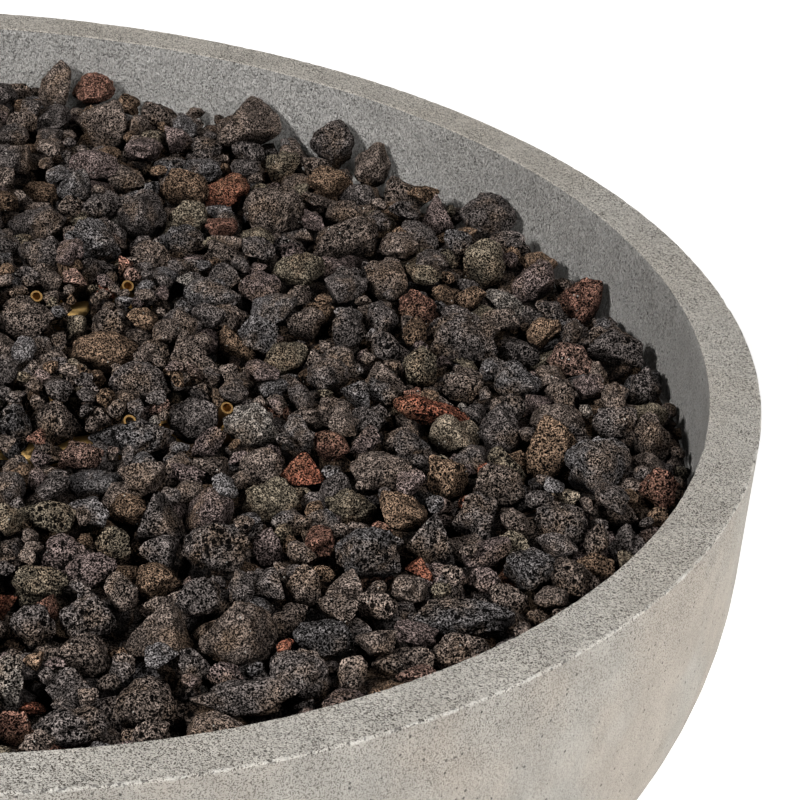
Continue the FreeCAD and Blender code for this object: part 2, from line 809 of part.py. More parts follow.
def main():
    os.makedirs("parts", exist_ok=True)
    save("bowl_shell", bowl_shell())
    save("foot_pads", foot_pads())
    save("burner_pan", burner_pan())
    save("burner_hub", burner_hub())
    save("crossbar_nipples", crossbar_nipples())
    save("bar_tees", bar_tees())
    save("bar_pipes", bar_pipes())
    save("bar_end_caps", bar_end_caps())
    save("front_bar_jets", burner_jets(-1))
    save("rear_bar_jets", burner_jets(1))
    save("burner_riser", burner_riser())
    save("riser_locknuts", riser_locknuts())
    save("riser_adapter", riser_adapter())
    save("hose_nuts", hose_nuts())
    save("gas_hose", gas_hose())
    save("outlet_adapter", side_adapter(1))
    save("inlet_adapter", side_adapter(-1))
    save("valve_body", valve_body())
    save("valve_end_piece", valve_end_piece())
    save("valve_seats", valve_seats())
    save("valve_ball", valve_ball())
    save("valve_stem", valve_stem())
    save("valve_packing_nut", valve_packing_nut())
    save("valve_sleeve", valve_sleeve())
    save("valve_locknut", valve_locknut())
    save("valve_escutcheon", valve_escutcheon())
    save("key_shaft", key_shaft())
    save("key_handle", key_handle())
    save("lava_rock_bed", lava_rock_bed())
    save("lava_rock_stones", lava_rock_stones())


main()
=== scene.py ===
import math
import random
from collections import namedtuple

import bmesh
import bpy
import numpy as np
from mathutils import Euler, Matrix, Vector, noise
from mathutils.bvhtree import BVHTree


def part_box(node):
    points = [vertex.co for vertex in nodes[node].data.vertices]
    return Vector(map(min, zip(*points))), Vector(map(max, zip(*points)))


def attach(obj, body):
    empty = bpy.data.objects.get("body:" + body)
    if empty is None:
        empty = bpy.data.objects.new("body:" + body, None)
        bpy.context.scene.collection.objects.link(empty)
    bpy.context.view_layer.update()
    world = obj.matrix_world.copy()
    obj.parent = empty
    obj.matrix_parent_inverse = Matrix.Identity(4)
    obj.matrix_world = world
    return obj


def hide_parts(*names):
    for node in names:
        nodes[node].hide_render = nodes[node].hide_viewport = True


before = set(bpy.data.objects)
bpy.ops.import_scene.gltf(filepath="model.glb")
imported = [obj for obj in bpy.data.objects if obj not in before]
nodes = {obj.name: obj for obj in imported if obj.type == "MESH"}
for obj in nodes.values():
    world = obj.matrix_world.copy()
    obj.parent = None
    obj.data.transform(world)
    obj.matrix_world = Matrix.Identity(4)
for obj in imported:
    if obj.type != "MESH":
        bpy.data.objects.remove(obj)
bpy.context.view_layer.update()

# Bowl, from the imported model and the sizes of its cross-section
bowl_low, bowl_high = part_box("bowl_shell")
rim_radius = bowl_high.x
rim_height = bowl_high.z
foot_height = bowl_low.z
rim_width = 0.039
rim_outer_round = 0.002
rim_inner_round = 0.0015
collar_height = 0.110
curve_reach = 0.432
curve_drop = 0.335
lower_wall = 0.028
slab_thickness = 0.035
base_hole_radius = 0.075
ledge_depth = 0.090
ledge_width = 0.0325
ledge_thickness = 0.020
ledge_slope_drop = 0.046
inner_radius = rim_radius - rim_width
ledge_top = rim_height - ledge_depth

# Seat and hole for the valve in the back wall, and pockets for the pads
valve_height = 0.240
seat_radius = 0.038
seat_face_y = 0.580
wall_hole_radius = 0.0156
boss_radius = 0.055
boss_inner_y = 0.532
boss_outer_y = 0.562
pad_pocket_radius = 0.0301
pad_pocket_depth = 0.004
pad_circle = 0.268
pad_count = 6

# Burner: two bars, turned about the bowl's axis
burner_turn = math.radians(17.5)
bar_height = 0.352
bar_offset = 0.105
bar_half_length = 0.202
first_jet = 0.063
jet_pitch = 0.038
jets_per_half_bar = 4
jet_lean = math.radians(38.0)
jet_reach = 0.046
burner_nodes = ("burner_hub", "crossbar_nipples", "bar_tees", "bar_pipes", "bar_end_caps",
                "front_bar_jets", "rear_bar_jets")

# Camera at the photograph's place
camera_place = Vector((0.0, -1.9014, 1.3778))
camera_yaw = math.radians(10.45)
camera_pitch = math.radians(27.81)
camera_roll = math.radians(-6.07)
camera_lens = 127.44
sensor_width = 36.0
picture_size = 800
picture_scale = camera_lens / sensor_width * picture_size

# Steps round the bowl, round its holes and along the rim's rounds, and margins of cuts and tests
bowl_steps = 1000
round_steps = 96
rim_round_points = 5
overshoot = 0.02
face_slack = 0.001  # tolerance on the place of a face or a point
same_point = 1e-6  # points nearer than this are one point

# Unevenness of the cast concrete, on the faces that face outwards or lie above the ledge
wall_waviness = 0.0007
wall_wave_length = 0.16
ledge_margin = 0.004
least_outward = 0.2  # part of a normal that points outwards, on a face of the outside
edge_chip_depth = 0.0011
edge_chip_length = 0.011
edge_chip_reach = 0.006
chip_threshold = 0.15

# Concrete: bands that belong to the rim and the inside, the pale edge line, painted light and shade towards
# the back, and the dark stipple of painted shade in fine pits
rim_band = 0.0022
inside_band = 0.0012
pale_edge_width = 0.0032
pale_edge_colour = (0.80, 0.78, 0.74, 1)
# Painted light and shade towards the back: the concrete's colour is multiplied along y from far_start to
# far_end
far_start = 0.2
far_end = 0.58
stipple_fading = 0.09
no_fading = 2.0  # farther than any point lies from the edge
pit_shade_colour = (0.10, 0.087, 0.070, 1)

# Crushed rock that fills the pan, inside the pan's sheet and its flange
bed_level = 0.345
pan_sheet = 0.002
pan_inner_radius = 0.5275
fill_above_ledge = 0.0022
fill_gap = 0.003
fill_steps = 300
fill_rings = 70
fill_unevenness = 0.004
fill_grain = 70.0

# Height map of the rock: its cells, and how deep below the rim the rock lies. Beside the right-hand
# wall, from dip_start to the right, it dips.
cell = 0.003
map_margin = 0.03
wall_top = 10.0  # height of the wall in the map, so that no stone goes over it
wall_gap = 0.002
burner_reach = 0.29  # radius within which the burner lies
stone_sink = 0.0008  # how far a stone settles into those below it
flat_reach = 0.25  # radius out to which the rock lies level
middle_depth = 0.036
wall_depth = 0.040
surface_wobble = 0.009
wobbles_per_metre = 9.0
dip_start = 0.25
dip_fade = 0.1
dip_width = 0.034
dip_depth = 0.015

# Forms of stones: number of broken faces, how near and far from the middle they lie, and lumpiness
StoneForm = namedtuple("StoneForm", "faces nearest farthest lumpiness")
stone_forms = {
    "round": StoneForm(13, 0.62, 0.90, 0.8),
    "block": StoneForm(11, 0.44, 0.70, 0.34),
    "wedge": StoneForm(7, 0.50, 0.74, 0.3),
    "slab": StoneForm(10, 0.46, 0.80, 0.4),
}
form_order = ("block", "round", "block", "slab", "block", "wedge", "round")
wedge_reach = 0.40
edge_sharpness = 34
hollow_count = 4
hollow_depth = 0.13
stone_crease = math.radians(32.0)

# Layers of loose stones: shortest and longest stone, the most stones, turns tried for each stone, places
# tried for each turn, how far a stone may pass the ceiling, and how many failures in a row end the layer
Layer = namedtuple("Layer", "shortest longest most turns places allowed_over patience")
lower_layer = Layer(0.026, 0.038, 950, 2, 8, -0.016, 40)
cover_layer = Layer(0.024, 0.034, 1, 8, 4, 0.030, 2)
bar_layer = Layer(0.015, 0.024, 260, 3, 10, 0.006, 60)
jet_layer = Layer(0.010, 0.017, 420, 3, 10, 0.0, 60)
upper_layer = Layer(0.026, 0.052, 1150, 4, 9, 0.001, 50)
small_layer = Layer(0.014, 0.027, 900, 3, 9, -0.007, 60)
stone_seed = 5
usual_tilt = 0.35  # radians
gap_weight = 0.8  # how much the gap below a stone counts against its place

# Stones that stand out in the photograph: how they slide down their line of sight, and how far in front
# of each the view is kept clear
highest_stone = rim_height - 0.018
seen_level = rim_height - middle_depth - 0.010
slide_step = 0.0015
seen_touching = 0.9  # part of a stone's underside that clears the rock where it stops
seen_thickness = 0.85
seen_swelling = 1.04
seen_cuts = 14
seen_roughness = 0.03
seen_sight_reach = 0.09

# Rock round the jets: stones cover those that lean to the back, and leave the view of the others clear
cover_ceiling = rim_height - 0.024
cover_radius = 0.03
cover_near = 0.006
cover_far = 0.022
cover_aside = 0.014
most_covers = 9
mouth_rise = 0.003
mouth_reach = 0.004
hiding_start = 0.007  # from here to the camera, rock may hide a jet
hiding_steps = 24
open_radius = 0.016
open_rise = 0.006
mouth_drop = 0.0025
mouth_sight_width = 0.005
mouth_sight_reach = 0.16
sight_start = -0.004
tuck_near = 0.004
tuck_far = 0.030
bar_spread = 0.02

# Painted shade in the gaps between stones and painted light on their tops, a painted highlight on their edges
# with painted shade in their hollows, and how many stones one piece holds
darkest_depth = -0.014
lightest_height = 0.011
darkest_share = 0.09
lightest_share = 1.22
even_out = 0.027
edge_contrast = 1.7
darkest_hollow = 0.5
lightest_edge = 1.8
stones_per_piece = 180
seen_per_piece = 70

# Colours of lava rock, and how often each comes up
stone_tints = {
    "charcoal": (0.060, 0.052, 0.050),
    "blue_grey": (0.062, 0.058, 0.059),
    "brown_grey": (0.078, 0.062, 0.054),
    "olive": (0.082, 0.069, 0.052),
    "mauve": (0.082, 0.063, 0.060),
    "brown": (0.092, 0.062, 0.043),
    "red_brown": (0.094, 0.050, 0.038),
    "rust": (0.112, 0.043, 0.028),
    "pink_brown": (0.118, 0.076, 0.063),
    "tan": (0.140, 0.115, 0.088),
    "light_grey": (0.118, 0.106, 0.097),
}
tint_shares = (("charcoal", 30), ("blue_grey", 10), ("brown_grey", 32), ("olive", 7), ("mauve", 8),
               ("brown", 8), ("red_brown", 1.8), ("pink_brown", 0.5), ("rust", 0.3), ("tan", 0.5),
               ("light_grey", 0.8))

# Stones that stand out in the photograph: form, tint, pores from 0 to 1, middle, width and height
# in pixels of the photograph, and clockwise tilt in degrees
SeenStone = namedtuple("SeenStone", "form tint pores across down width height tilt")
seen_stones = (
    SeenStone("round", "red_brown", 0.2, 93, 89, 42, 33, 0),
    SeenStone("block", "brown_grey", 0.3, 55, 86, 32, 50, 5),
    SeenStone("block", "brown_grey", 0.5, 101, 126, 52, 50, 0),
    SeenStone("slab", "mauve", 0.0, 95, 165, 49, 29, 5),
    SeenStone("block", "brown_grey", 0.6, 246, 124, 68, 56, 0),
    SeenStone("round", "charcoal", 0.6, 332, 144, 44, 48, 0),
    SeenStone("block", "brown_grey", 0.3, 372, 165, 36, 47, 15),
    SeenStone("block", "rust", 0.3, 226, 195, 41, 48, 20),
    SeenStone("round", "brown_grey", 0.6, 274, 212, 60, 50, -5),
    SeenStone("round", "brown_grey", 0.8, 344, 243, 70, 45, -10),
    SeenStone("block", "charcoal", 0.5, 141, 214, 50, 50, 0),
    SeenStone("block", "charcoal", 0.4, 36, 225, 58, 42, 5),
    SeenStone("round", "brown", 0.4, 184, 189, 50, 40, 0),
    SeenStone("round", "olive", 0.2, 188, 217, 39, 33, 0),
    SeenStone("block", "blue_grey", 0.6, 181, 242, 48, 35, 0),
    SeenStone("round", "olive", 0.3, 298, 272, 54, 36, -5),
    SeenStone("round", "mauve", 0.4, 260, 288, 42, 34, -10),
    SeenStone("slab", "blue_grey", 0.1, 275, 309, 48, 31, -15),
    SeenStone("block", "brown_grey", 0.4, 306, 323, 38, 32, 0),
    SeenStone("block", "blue_grey", 0.4, 258, 334, 43, 38, 10),
    SeenStone("round", "brown_grey", 0.7, 29, 319, 51, 47, 0),
    SeenStone("block", "tan", 0.4, 75, 328, 21, 27, 15),
    SeenStone("round", "brown", 0.3, 105, 352, 68, 42, 5),
    SeenStone("wedge", "brown_grey", 0.7, 194, 358, 62, 58, 0),
    SeenStone("round", "charcoal", 0.6, 140, 383, 60, 42, 5),
    SeenStone("slab", "brown", 0.5, 234, 348, 46, 24, 45),
    SeenStone("block", "charcoal", 0.5, 41, 260, 48, 40, 0),
    SeenStone("block", "blue_grey", 0.6, 98, 242, 50, 42, 20),
    SeenStone("round", "brown_grey", 0.6, 150, 258, 42, 34, 0),
    SeenStone("slab", "light_grey", 0.6, 189, 281, 24, 13, 25),
    SeenStone("slab", "blue_grey", 0.4, 212, 296, 56, 34, 15),
    SeenStone("slab", "brown_grey", 0.3, 122, 180, 46, 30, 25),
    SeenStone("round", "brown", 0.3, 40, 193, 38, 24, 10),
    SeenStone("round", "blue_grey", 0.3, 74, 188, 34, 38, 0),
    SeenStone("block", "olive", 0.6, 283, 168, 34, 34, 0),
    SeenStone("slab", "brown", 0.4, 330, 182, 46, 30, 10),
    SeenStone("slab", "charcoal", 0.3, 356, 195, 42, 26, 20),
    SeenStone("round", "charcoal", 0.7, 350, 330, 36, 46, 10),
    SeenStone("slab", "olive", 0.3, 284, 357, 50, 32, -25),
    SeenStone("round", "charcoal", 0.6, 98, 272, 42, 26, 5),
    SeenStone("round", "light_grey", 0.1, 251, 428, 56, 50, 5),
    SeenStone("round", "charcoal", 0.2, 194, 421, 51, 46, 0),
    SeenStone("slab", "blue_grey", 0.9, 131, 437, 84, 38, 5),
    SeenStone("block", "pink_brown", 0.9, 79, 455, 49, 33, -15),
    SeenStone("block", "brown_grey", 0.9, 56, 424, 49, 46, 0),
    SeenStone("block", "blue_grey", 0.9, 13, 430, 36, 52, 0),
    SeenStone("slab", "blue_grey", 0.1, 94, 484, 54, 34, 15),
    SeenStone("block", "brown_grey", 0.3, 143, 479, 46, 33, -10),
    SeenStone("slab", "mauve", 0.6, 209, 444, 42, 26, -35),
    SeenStone("wedge", "rust", 0.2, 302, 469, 44, 33, 0),
    SeenStone("block", "red_brown", 0.4, 330, 447, 38, 32, 30),
    SeenStone("round", "olive", 0.2, 271, 499, 57, 46, 10),
    SeenStone("round", "olive", 0.3, 350, 508, 52, 38, 10),
    SeenStone("block", "brown", 0.3, 126, 510, 41, 34, -15),
    SeenStone("wedge", "charcoal", 0.8, 163, 518, 48, 52, 0),
    SeenStone("block", "mauve", 0.2, 208, 516, 44, 54, 20),
    SeenStone("round", "charcoal", 1.0, 217, 553, 66, 60, -10),
    SeenStone("round", "blue_grey", 1.0, 370, 553, 68, 54, 20),
    SeenStone("wedge", "brown_grey", 0.1, 157, 631, 76, 56, 0),
    SeenStone("round", "brown_grey", 0.1, 240, 636, 72, 70, 20),
    SeenStone("round", "blue_grey", 0.7, 323, 641, 61, 45, 10),
    SeenStone("round", "charcoal", 0.5, 300, 674, 62, 54, 25),
    SeenStone("slab", "charcoal", 0.4, 245, 697, 108, 42, 0),
    SeenStone("round", "brown_grey", 0.8, 144, 705, 68, 58, 0),
    SeenStone("slab", "charcoal", 1.0, 70, 726, 76, 38, -5),
    SeenStone("block", "red_brown", 0.5, 13, 728, 40, 36, 10),
    SeenStone("slab", "rust", 0.2, 32, 709, 28, 15, 15),
    SeenStone("block", "light_grey", 0.8, 9, 682, 30, 54, 0),
    SeenStone("round", "charcoal", 0.9, 33, 627, 46, 47, 0),
    SeenStone("round", "charcoal", 0.9, 88, 618, 54, 46, -10),
    SeenStone("wedge", "rust", 0.1, 5, 602, 30, 30, 60),
    SeenStone("round", "brown_grey", 0.8, 84, 655, 52, 44, 0),
    SeenStone("round", "olive", 0.6, 41, 581, 56, 30, 5),
    SeenStone("round", "brown", 0.5, 158, 581, 49, 36, 10),
    SeenStone("round", "charcoal", 0.6, 199, 597, 44, 38, -20),
    SeenStone("block", "olive", 0.8, 112, 543, 37, 34, 0),
    SeenStone("round", "mauve", 0.6, 269, 551, 32, 46, 0),
    SeenStone("block", "brown_grey", 0.6, 302, 588, 38, 46, -15),
    SeenStone("round", "charcoal", 0.6, 488, 217, 56, 50, 10),
    SeenStone("wedge", "mauve", 0.5, 437, 216, 34, 42, 0),
    SeenStone("block", "olive", 0.4, 484, 266, 42, 54, 10),
    SeenStone("block", "mauve", 0.5, 533, 284, 42, 50, 10),
    SeenStone("block", "red_brown", 0.8, 579, 301, 42, 52, 20),
    SeenStone("slab", "light_grey", 0.3, 504, 303, 44, 22, 20),
    SeenStone("block", "red_brown", 0.7, 420, 310, 46, 36, 15),
    SeenStone("block", "brown", 0.3, 544, 332, 36, 30, -30),
    SeenStone("block", "pink_brown", 0.8, 570, 360, 46, 34, 5),
    SeenStone("round", "charcoal", 0.6, 461, 339, 74, 54, 5),
    SeenStone("block", "charcoal", 0.9, 617, 348, 58, 38, 10),
    SeenStone("slab", "mauve", 0.2, 622, 370, 42, 14, -38),
    SeenStone("block", "charcoal", 0.8, 646, 388, 32, 42, 10),
    SeenStone("round", "olive", 0.7, 420, 368, 36, 43, -10),
    SeenStone("block", "blue_grey", 0.6, 518, 384, 48, 38, 0),
    SeenStone("slab", "charcoal", 0.9, 520, 354, 40, 24, 0),
    SeenStone("round", "brown_grey", 0.7, 463, 385, 40, 36, 10),
    SeenStone("slab", "rust", 0.8, 431, 411, 76, 30, 5),
    SeenStone("block", "tan", 0.1, 455, 436, 50, 48, -20),
    SeenStone("round", "charcoal", 0.4, 499, 431, 42, 54, 0),
    SeenStone("round", "brown", 0.7, 550, 452, 46, 64, 25),
    SeenStone("block", "blue_grey", 0.5, 597, 467, 66, 62, 10),
    SeenStone("round", "brown_grey", 0.7, 500, 485, 50, 40, 10),
    SeenStone("round", "brown", 0.8, 448, 480, 40, 42, 0),
    SeenStone("block", "red_brown", 0.9, 658, 489, 38, 40, 20),
    SeenStone("block", "charcoal", 0.8, 476, 522, 48, 58, -10),
    SeenStone("wedge", "charcoal", 0.8, 431, 540, 54, 56, 10),
    SeenStone("round", "charcoal", 0.7, 561, 525, 52, 48, 0),
    SeenStone("wedge", "rust", 0.1, 422, 568, 31, 19, 20),
    SeenStone("round", "blue_grey", 0.7, 529, 569, 50, 42, 0),
    SeenStone("block", "brown_grey", 0.8, 573, 578, 54, 42, 0),
    SeenStone("block", "charcoal", 0.5, 626, 546, 40, 44, 0),
    SeenStone("slab", "blue_grey", 1.0, 461, 621, 108, 46, 8),
    SeenStone("slab", "brown_grey", 0.7, 459, 650, 60, 36, -15),
    SeenStone("round", "mauve", 0.3, 484, 580, 34, 26, 0),
    SeenStone("round", "brown_grey", 0.8, 508, 600, 40, 30, 20),
    SeenStone("block", "brown_grey", 0.5, 652, 440, 36, 56, 0),
    SeenStone("round", "charcoal", 0.5, 614, 424, 44, 34, 0),
)

# Studio: lamps with their place, width and height, and power in watts, all turned to the bowl
Lamp = namedtuple("Lamp", "name place size power")
lamps = (
    Lamp("key_light", (-4.0, -2.8, 3.8), (0.7, 0.7), 280.0),
    Lamp("top_light", (0.5, -1.2, 4.2), (1.6, 1.6), 32.0),
    Lamp("front_light", (1.2, -2.9, 2.6), (1.2, 1.2), 46.0),
    Lamp("low_light", (4.5, -1.4, 0.24), (4.0, 0.4), 150.0),
    Lamp("back_light", (0.6, 4.8, 0.34), (6.0, 0.6), 290.0),
)
lamp_aim = (0, 0, 0.38)
lamp_colour = (1.0, 0.98, 0.95)
ambient_strength = 0.022
floor_reach = 30.0


# Small tools

def add_node(tree, kind, settings=None, **inputs):
    """Adds a shader node, and sets or links its inputs. An input's spaces are written as underscores."""
    made = tree.nodes.new(kind)
    for name, value in (settings or {}).items():
        setattr(made, name, value)
    for name, value in inputs.items():
        socket = made.inputs[int(name[1:])] if name[0] == "_" else made.inputs[name.replace("_", " ")]
        if isinstance(value, bpy.types.NodeSocket):
            tree.links.new(value, socket)
        else:
            socket.default_value = value
    return made


def new_material(name):
    """Empty material with its shader, its output and object coordinates."""
    material = bpy.data.materials.new(name)
    material.use_nodes = True
    tree = material.node_tree
    tree.nodes.clear()
    shader = tree.nodes.new("ShaderNodeBsdfPrincipled")
    output = tree.nodes.new("ShaderNodeOutputMaterial")
    tree.links.new(shader.outputs["BSDF"], output.inputs["Surface"])
    place = tree.nodes.new("ShaderNodeTexCoord").outputs["Object"]
    return material, tree, shader, place


def noise_texture(tree, place, scale, detail=3.0, roughness=0.5):
    made = add_node(tree, "ShaderNodeTexNoise", Vector=place, Scale=scale, Detail=detail, Roughness=roughness)
    return made.outputs["Fac"]


def cells(tree, place, scale):
    """Voronoi cells: distance to the nearest point, and three random numbers for each cell."""
    made = add_node(tree, "ShaderNodeTexVoronoi", Vector=place, Scale=scale)
    numbers = add_node(tree, "ShaderNodeSeparateColor", Color=made.outputs["Color"])
    return made.outputs["Distance"], numbers.outputs


def ramp(tree, value, low, high, at_low=0.0, at_high=1.0):
    """Smooth step of a value between two limits."""
    made = add_node(tree, "ShaderNodeMapRange", {"interpolation_type": "SMOOTHSTEP"},
                    Value=value, From_Min=low, From_Max=high, To_Min=at_low, To_Max=at_high)
    return made.outputs["Result"]


def math_node(tree, operation, first, second):
    return add_node(tree, "ShaderNodeMath", {"operation": operation}, _0=first, _1=second).outputs[0]


def mix_colours(tree, share, first, second, blend="MIX"):
    made = add_node(tree, "ShaderNodeMix", {"data_type": "RGBA", "blend_type": blend},
                    _0=share, _6=first, _7=second)
    return made.outputs[2]


def shade(tree, colour, light):
    """Multiplies a colour by a number."""
    grey = add_node(tree, "ShaderNodeCombineColor", _0=light, _1=light, _2=light).outputs[0]
    return mix_colours(tree, 1.0, colour, grey, "MULTIPLY")


def attribute(tree, name, output="Fac"):
    return add_node(tree, "ShaderNodeAttribute", {"attribute_name": name}).outputs[output]


def bump(tree, height, depth, strength=1.0, below=None):
    made = add_node(tree, "ShaderNodeBump", Height=height, Distance=depth, Strength=strength)
    if below is not None:
        tree.links.new(below, made.inputs["Normal"])
    return made.outputs["Normal"]


def add_object(name, mesh, body="fire_bowl"):
    """Puts a finished mesh in the scene, riding on a body."""
    piece = bpy.data.objects.new(name, mesh)
    bpy.context.scene.collection.objects.link(piece)
    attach(piece, body)
    return piece


# Concrete

def concrete(name, grey, stain, painted_back_tone, stipple, relief, streak=1.0, fading=stipple_fading):
    """Cast concrete: dark stipple of painted shade in fine pits, sandy relief, open pores, pits and chips
    with painted shade in them, broad stains, painted light and shade towards the back, and a pale, chipped
    edge.
    """
    material, tree, shader, place = new_material(name)
    edge_distance = distance_to_edge(tree, place)
    drawn = add_node(tree, "ShaderNodeMapping", Vector=place, Scale=(1.0, 1.0, streak)).outputs[0]
    sand = noise_texture(tree, drawn, 960.0, 2.0, 0.6)
    pale_edge = pale_edge_line(tree, place, edge_distance)
    dots = stipple_dots(tree, place, sand, pale_edge, edge_distance, stipple, fading)
    holes = concrete_holes(tree, place, edge_distance)
    colour = stained_grey(tree, place, grey, stain, painted_back_tone)
    colour = mix_colours(tree, pale_edge, colour, pale_edge_colour)
    colour = mix_colours(tree, dots, colour, pit_shade_colour)
    # Painted shade in the pores, pits and chips: the holes darken the colour to 0.38, times a broad mottling
    cloud = ramp(tree, noise_texture(tree, place, 34.0, 4.0, 0.6), 0.3, 0.7, 0.92, 1.07)
    light = math_node(tree, "MULTIPLY", cloud, ramp(tree, holes, 0.0, 1.0, 1.0, 0.38))
    tree.links.new(shade(tree, colour, light), shader.inputs["Base Color"])
    shader.inputs["Roughness"].default_value = 0.88
    shader.inputs["Specular IOR Level"].default_value = 0.25
    sandy = bump(tree, sand, relief, 1.0)
    lumpy = bump(tree, noise_texture(tree, drawn, 300.0, 3.0), 1.5 * relief, 0.8, sandy)
    solid = math_node(tree, "SUBTRACT", 1.0, holes)
    tree.links.new(bump(tree, solid, 0.0010, 0.9, lumpy), shader.inputs["Normal"])
    return material


def stained_grey(tree, place, grey, stain, painted_back_tone):
    """Grey with broad stains, and painted light and shade towards the back of the bowl, where a tone
    multiplies it.
    """
    broad = noise_texture(tree, place, 7.0, 4.0, 0.55)
    colour = mix_colours(tree, ramp(tree, broad, 0.42, 0.62, 0.0, 0.85), grey, stain)
    along = add_node(tree, "ShaderNodeSeparateXYZ", Vector=place).outputs[1]
    return mix_colours(tree, ramp(tree, along, far_start, far_end), colour, painted_back_tone, "MULTIPLY")


def pale_edge_line(tree, place, edge_distance):
    """Uneven pale line along the outer edge of the rim, from 0 to its full strength."""
    breaks = noise_texture(tree, place, 90.0, 4.0, 0.65)
    pale_edge = math_node(tree, "DIVIDE", edge_distance, pale_edge_width)
    pale_edge = math_node(tree, "ADD", pale_edge, ramp(tree, breaks, 0.35, 0.65, 0.7, -0.2))
    return ramp(tree, pale_edge, 0.15, 1.0, 0.88, 0.0)


def stipple_dots(tree, place, sand, pale_edge, edge_distance, stipple, fading):
    """Painted shade in fine pits: dark dots in the low spots between the grains of sand, patchy, weaker on
    the pale edge line, and fading away from it.
    """
    patchy = ramp(tree, noise_texture(tree, place, 26.0, 3.0), 0.35, 0.62, 0.75 * stipple, stipple)
    patchy = math_node(tree, "MULTIPLY", patchy, ramp(tree, pale_edge, 0.0, 0.8, 1.0, 0.25))
    patchy = math_node(tree, "MULTIPLY", patchy, ramp(tree, edge_distance, 0.01, fading, 1.0, 0.4))
    return math_node(tree, "MULTIPLY", ramp(tree, sand, 0.42, 0.475, 1.0, 0.0), patchy)


def concrete_holes(tree, place, edge_distance):
    """Fine pores, a few pits, and chips along the edge, from 0 to 1 in a hole, for the relief and for the
    painted shade in them.
    """
    pore_distance, pore_numbers = cells(tree, place, 190.0)
    pore_limit = ramp(tree, pore_numbers[0], 0.4, 1.0, 0.0, 0.22)
    pore = ramp(tree, math_node(tree, "SUBTRACT", pore_limit, pore_distance), -0.01, 0.04)
    pit_distance, pit_numbers = cells(tree, place, 45.0)
    pit_limit = ramp(tree, pit_numbers[1], 0.78, 1.0, 0.0, 0.075)
    pit = ramp(tree, math_node(tree, "SUBTRACT", pit_limit, pit_distance), -0.003, 0.012)
    chip_noise = noise_texture(tree, place, 210.0, 2.0, 0.6)
    by_edge = ramp(tree, edge_distance, 0.0012, 0.0030, 1.0, 0.0)
    chip = math_node(tree, "MULTIPLY", ramp(tree, chip_noise, 0.58, 0.64), by_edge)
    return math_node(tree, "MAXIMUM", math_node(tree, "MAXIMUM", pore, pit), chip)


def distance_to_edge(tree, place):
    """Distance to the outer edge of the rim."""
    across = add_node(tree, "ShaderNodeVectorMath", {"operation": "MULTIPLY"},
                      _0=place, _1=(1.0, 1.0, 0.0)).outputs[0]
    radius = add_node(tree, "ShaderNodeVectorMath", {"operation": "LENGTH"}, _0=across).outputs["Value"]
    height = add_node(tree, "ShaderNodeSeparateXYZ", Vector=place).outputs[2]
    inwards = math_node(tree, "SUBTRACT", radius, rim_radius)
    below = math_node(tree, "SUBTRACT", height, rim_height)
    offset = add_node(tree, "ShaderNodeCombineXYZ", X=inwards, Y=below).outputs[0]
    return add_node(tree, "ShaderNodeVectorMath", {"operation": "LENGTH"}, _0=offset).outputs["Value"]


def curve_points(inset, low, high, count):
    """Stretch of the wall's ellipse between two heights, as (radius, height)."""
    reach = curve_reach - inset
    drop = curve_drop - inset
    centre_radius = rim_radius - curve_reach
    centre_height = rim_height - collar_height
    first = math.asin((low - centre_height) / drop)
    last = math.asin((high - centre_height) / drop)
    angles = np.linspace(first, last, count)
    return [(centre_radius + reach * math.cos(a), centre_height + drop * math.sin(a)) for a in angles]


def straight(first, last, count):
    """Evenly spaced (radius, height) points from one point to the next."""
    return [(first[0] + (last[0] - first[0]) * t, first[1] + (last[1] - first[1]) * t)
            for t in np.linspace(0.0, 1.0, count)]


def quarter_round(centre, radius, first, last):
    """Rounded edge of the rim. Angles are in degrees up from the outward direction."""
    angles = np.radians(np.linspace(first, last, rim_round_points))
    return [(centre[0] + radius * math.cos(a), centre[1] + radius * math.sin(a)) for a in angles]


def bowl_profile():
    """Closed cross-section of the bowl, from the base hole round the outside, over the rim and inside."""
    slab_top = foot_height + slab_thickness
    ledge_bottom = ledge_top - ledge_thickness
    ledge_radius = inner_radius - ledge_width
    outer = curve_points(0.0, foot_height, rim_height - collar_height, 24)
    cavity = curve_points(lower_wall, slab_top, ledge_bottom - ledge_slope_drop, 10)
    outer_round = (rim_radius - rim_outer_round, rim_height - rim_outer_round)
    inner_round = (inner_radius + rim_inner_round, rim_height - rim_inner_round)
    points = straight((base_hole_radius, foot_height), outer[0], 4)
    points += outer
    points += straight((rim_radius, rim_height - collar_height), (rim_radius, outer_round[1]), 16)
    points += quarter_round(outer_round, rim_outer_round, 0, 90)
    points += straight((outer_round[0], rim_height), (inner_round[0], rim_height), 9)
    points += quarter_round(inner_round, rim_inner_round, 90, 180)
    points += straight((inner_radius, inner_round[1]), (inner_radius, ledge_top), 10)
    points += [(ledge_radius, ledge_top), (ledge_radius, ledge_bottom)]
    points += cavity[::-1]
    points += [(base_hole_radius, slab_top)]
    unique = [points[0]]
    for point in points[1:]:
        if math.dist(point, unique[-1]) > same_point:
            unique.append(point)
    return unique


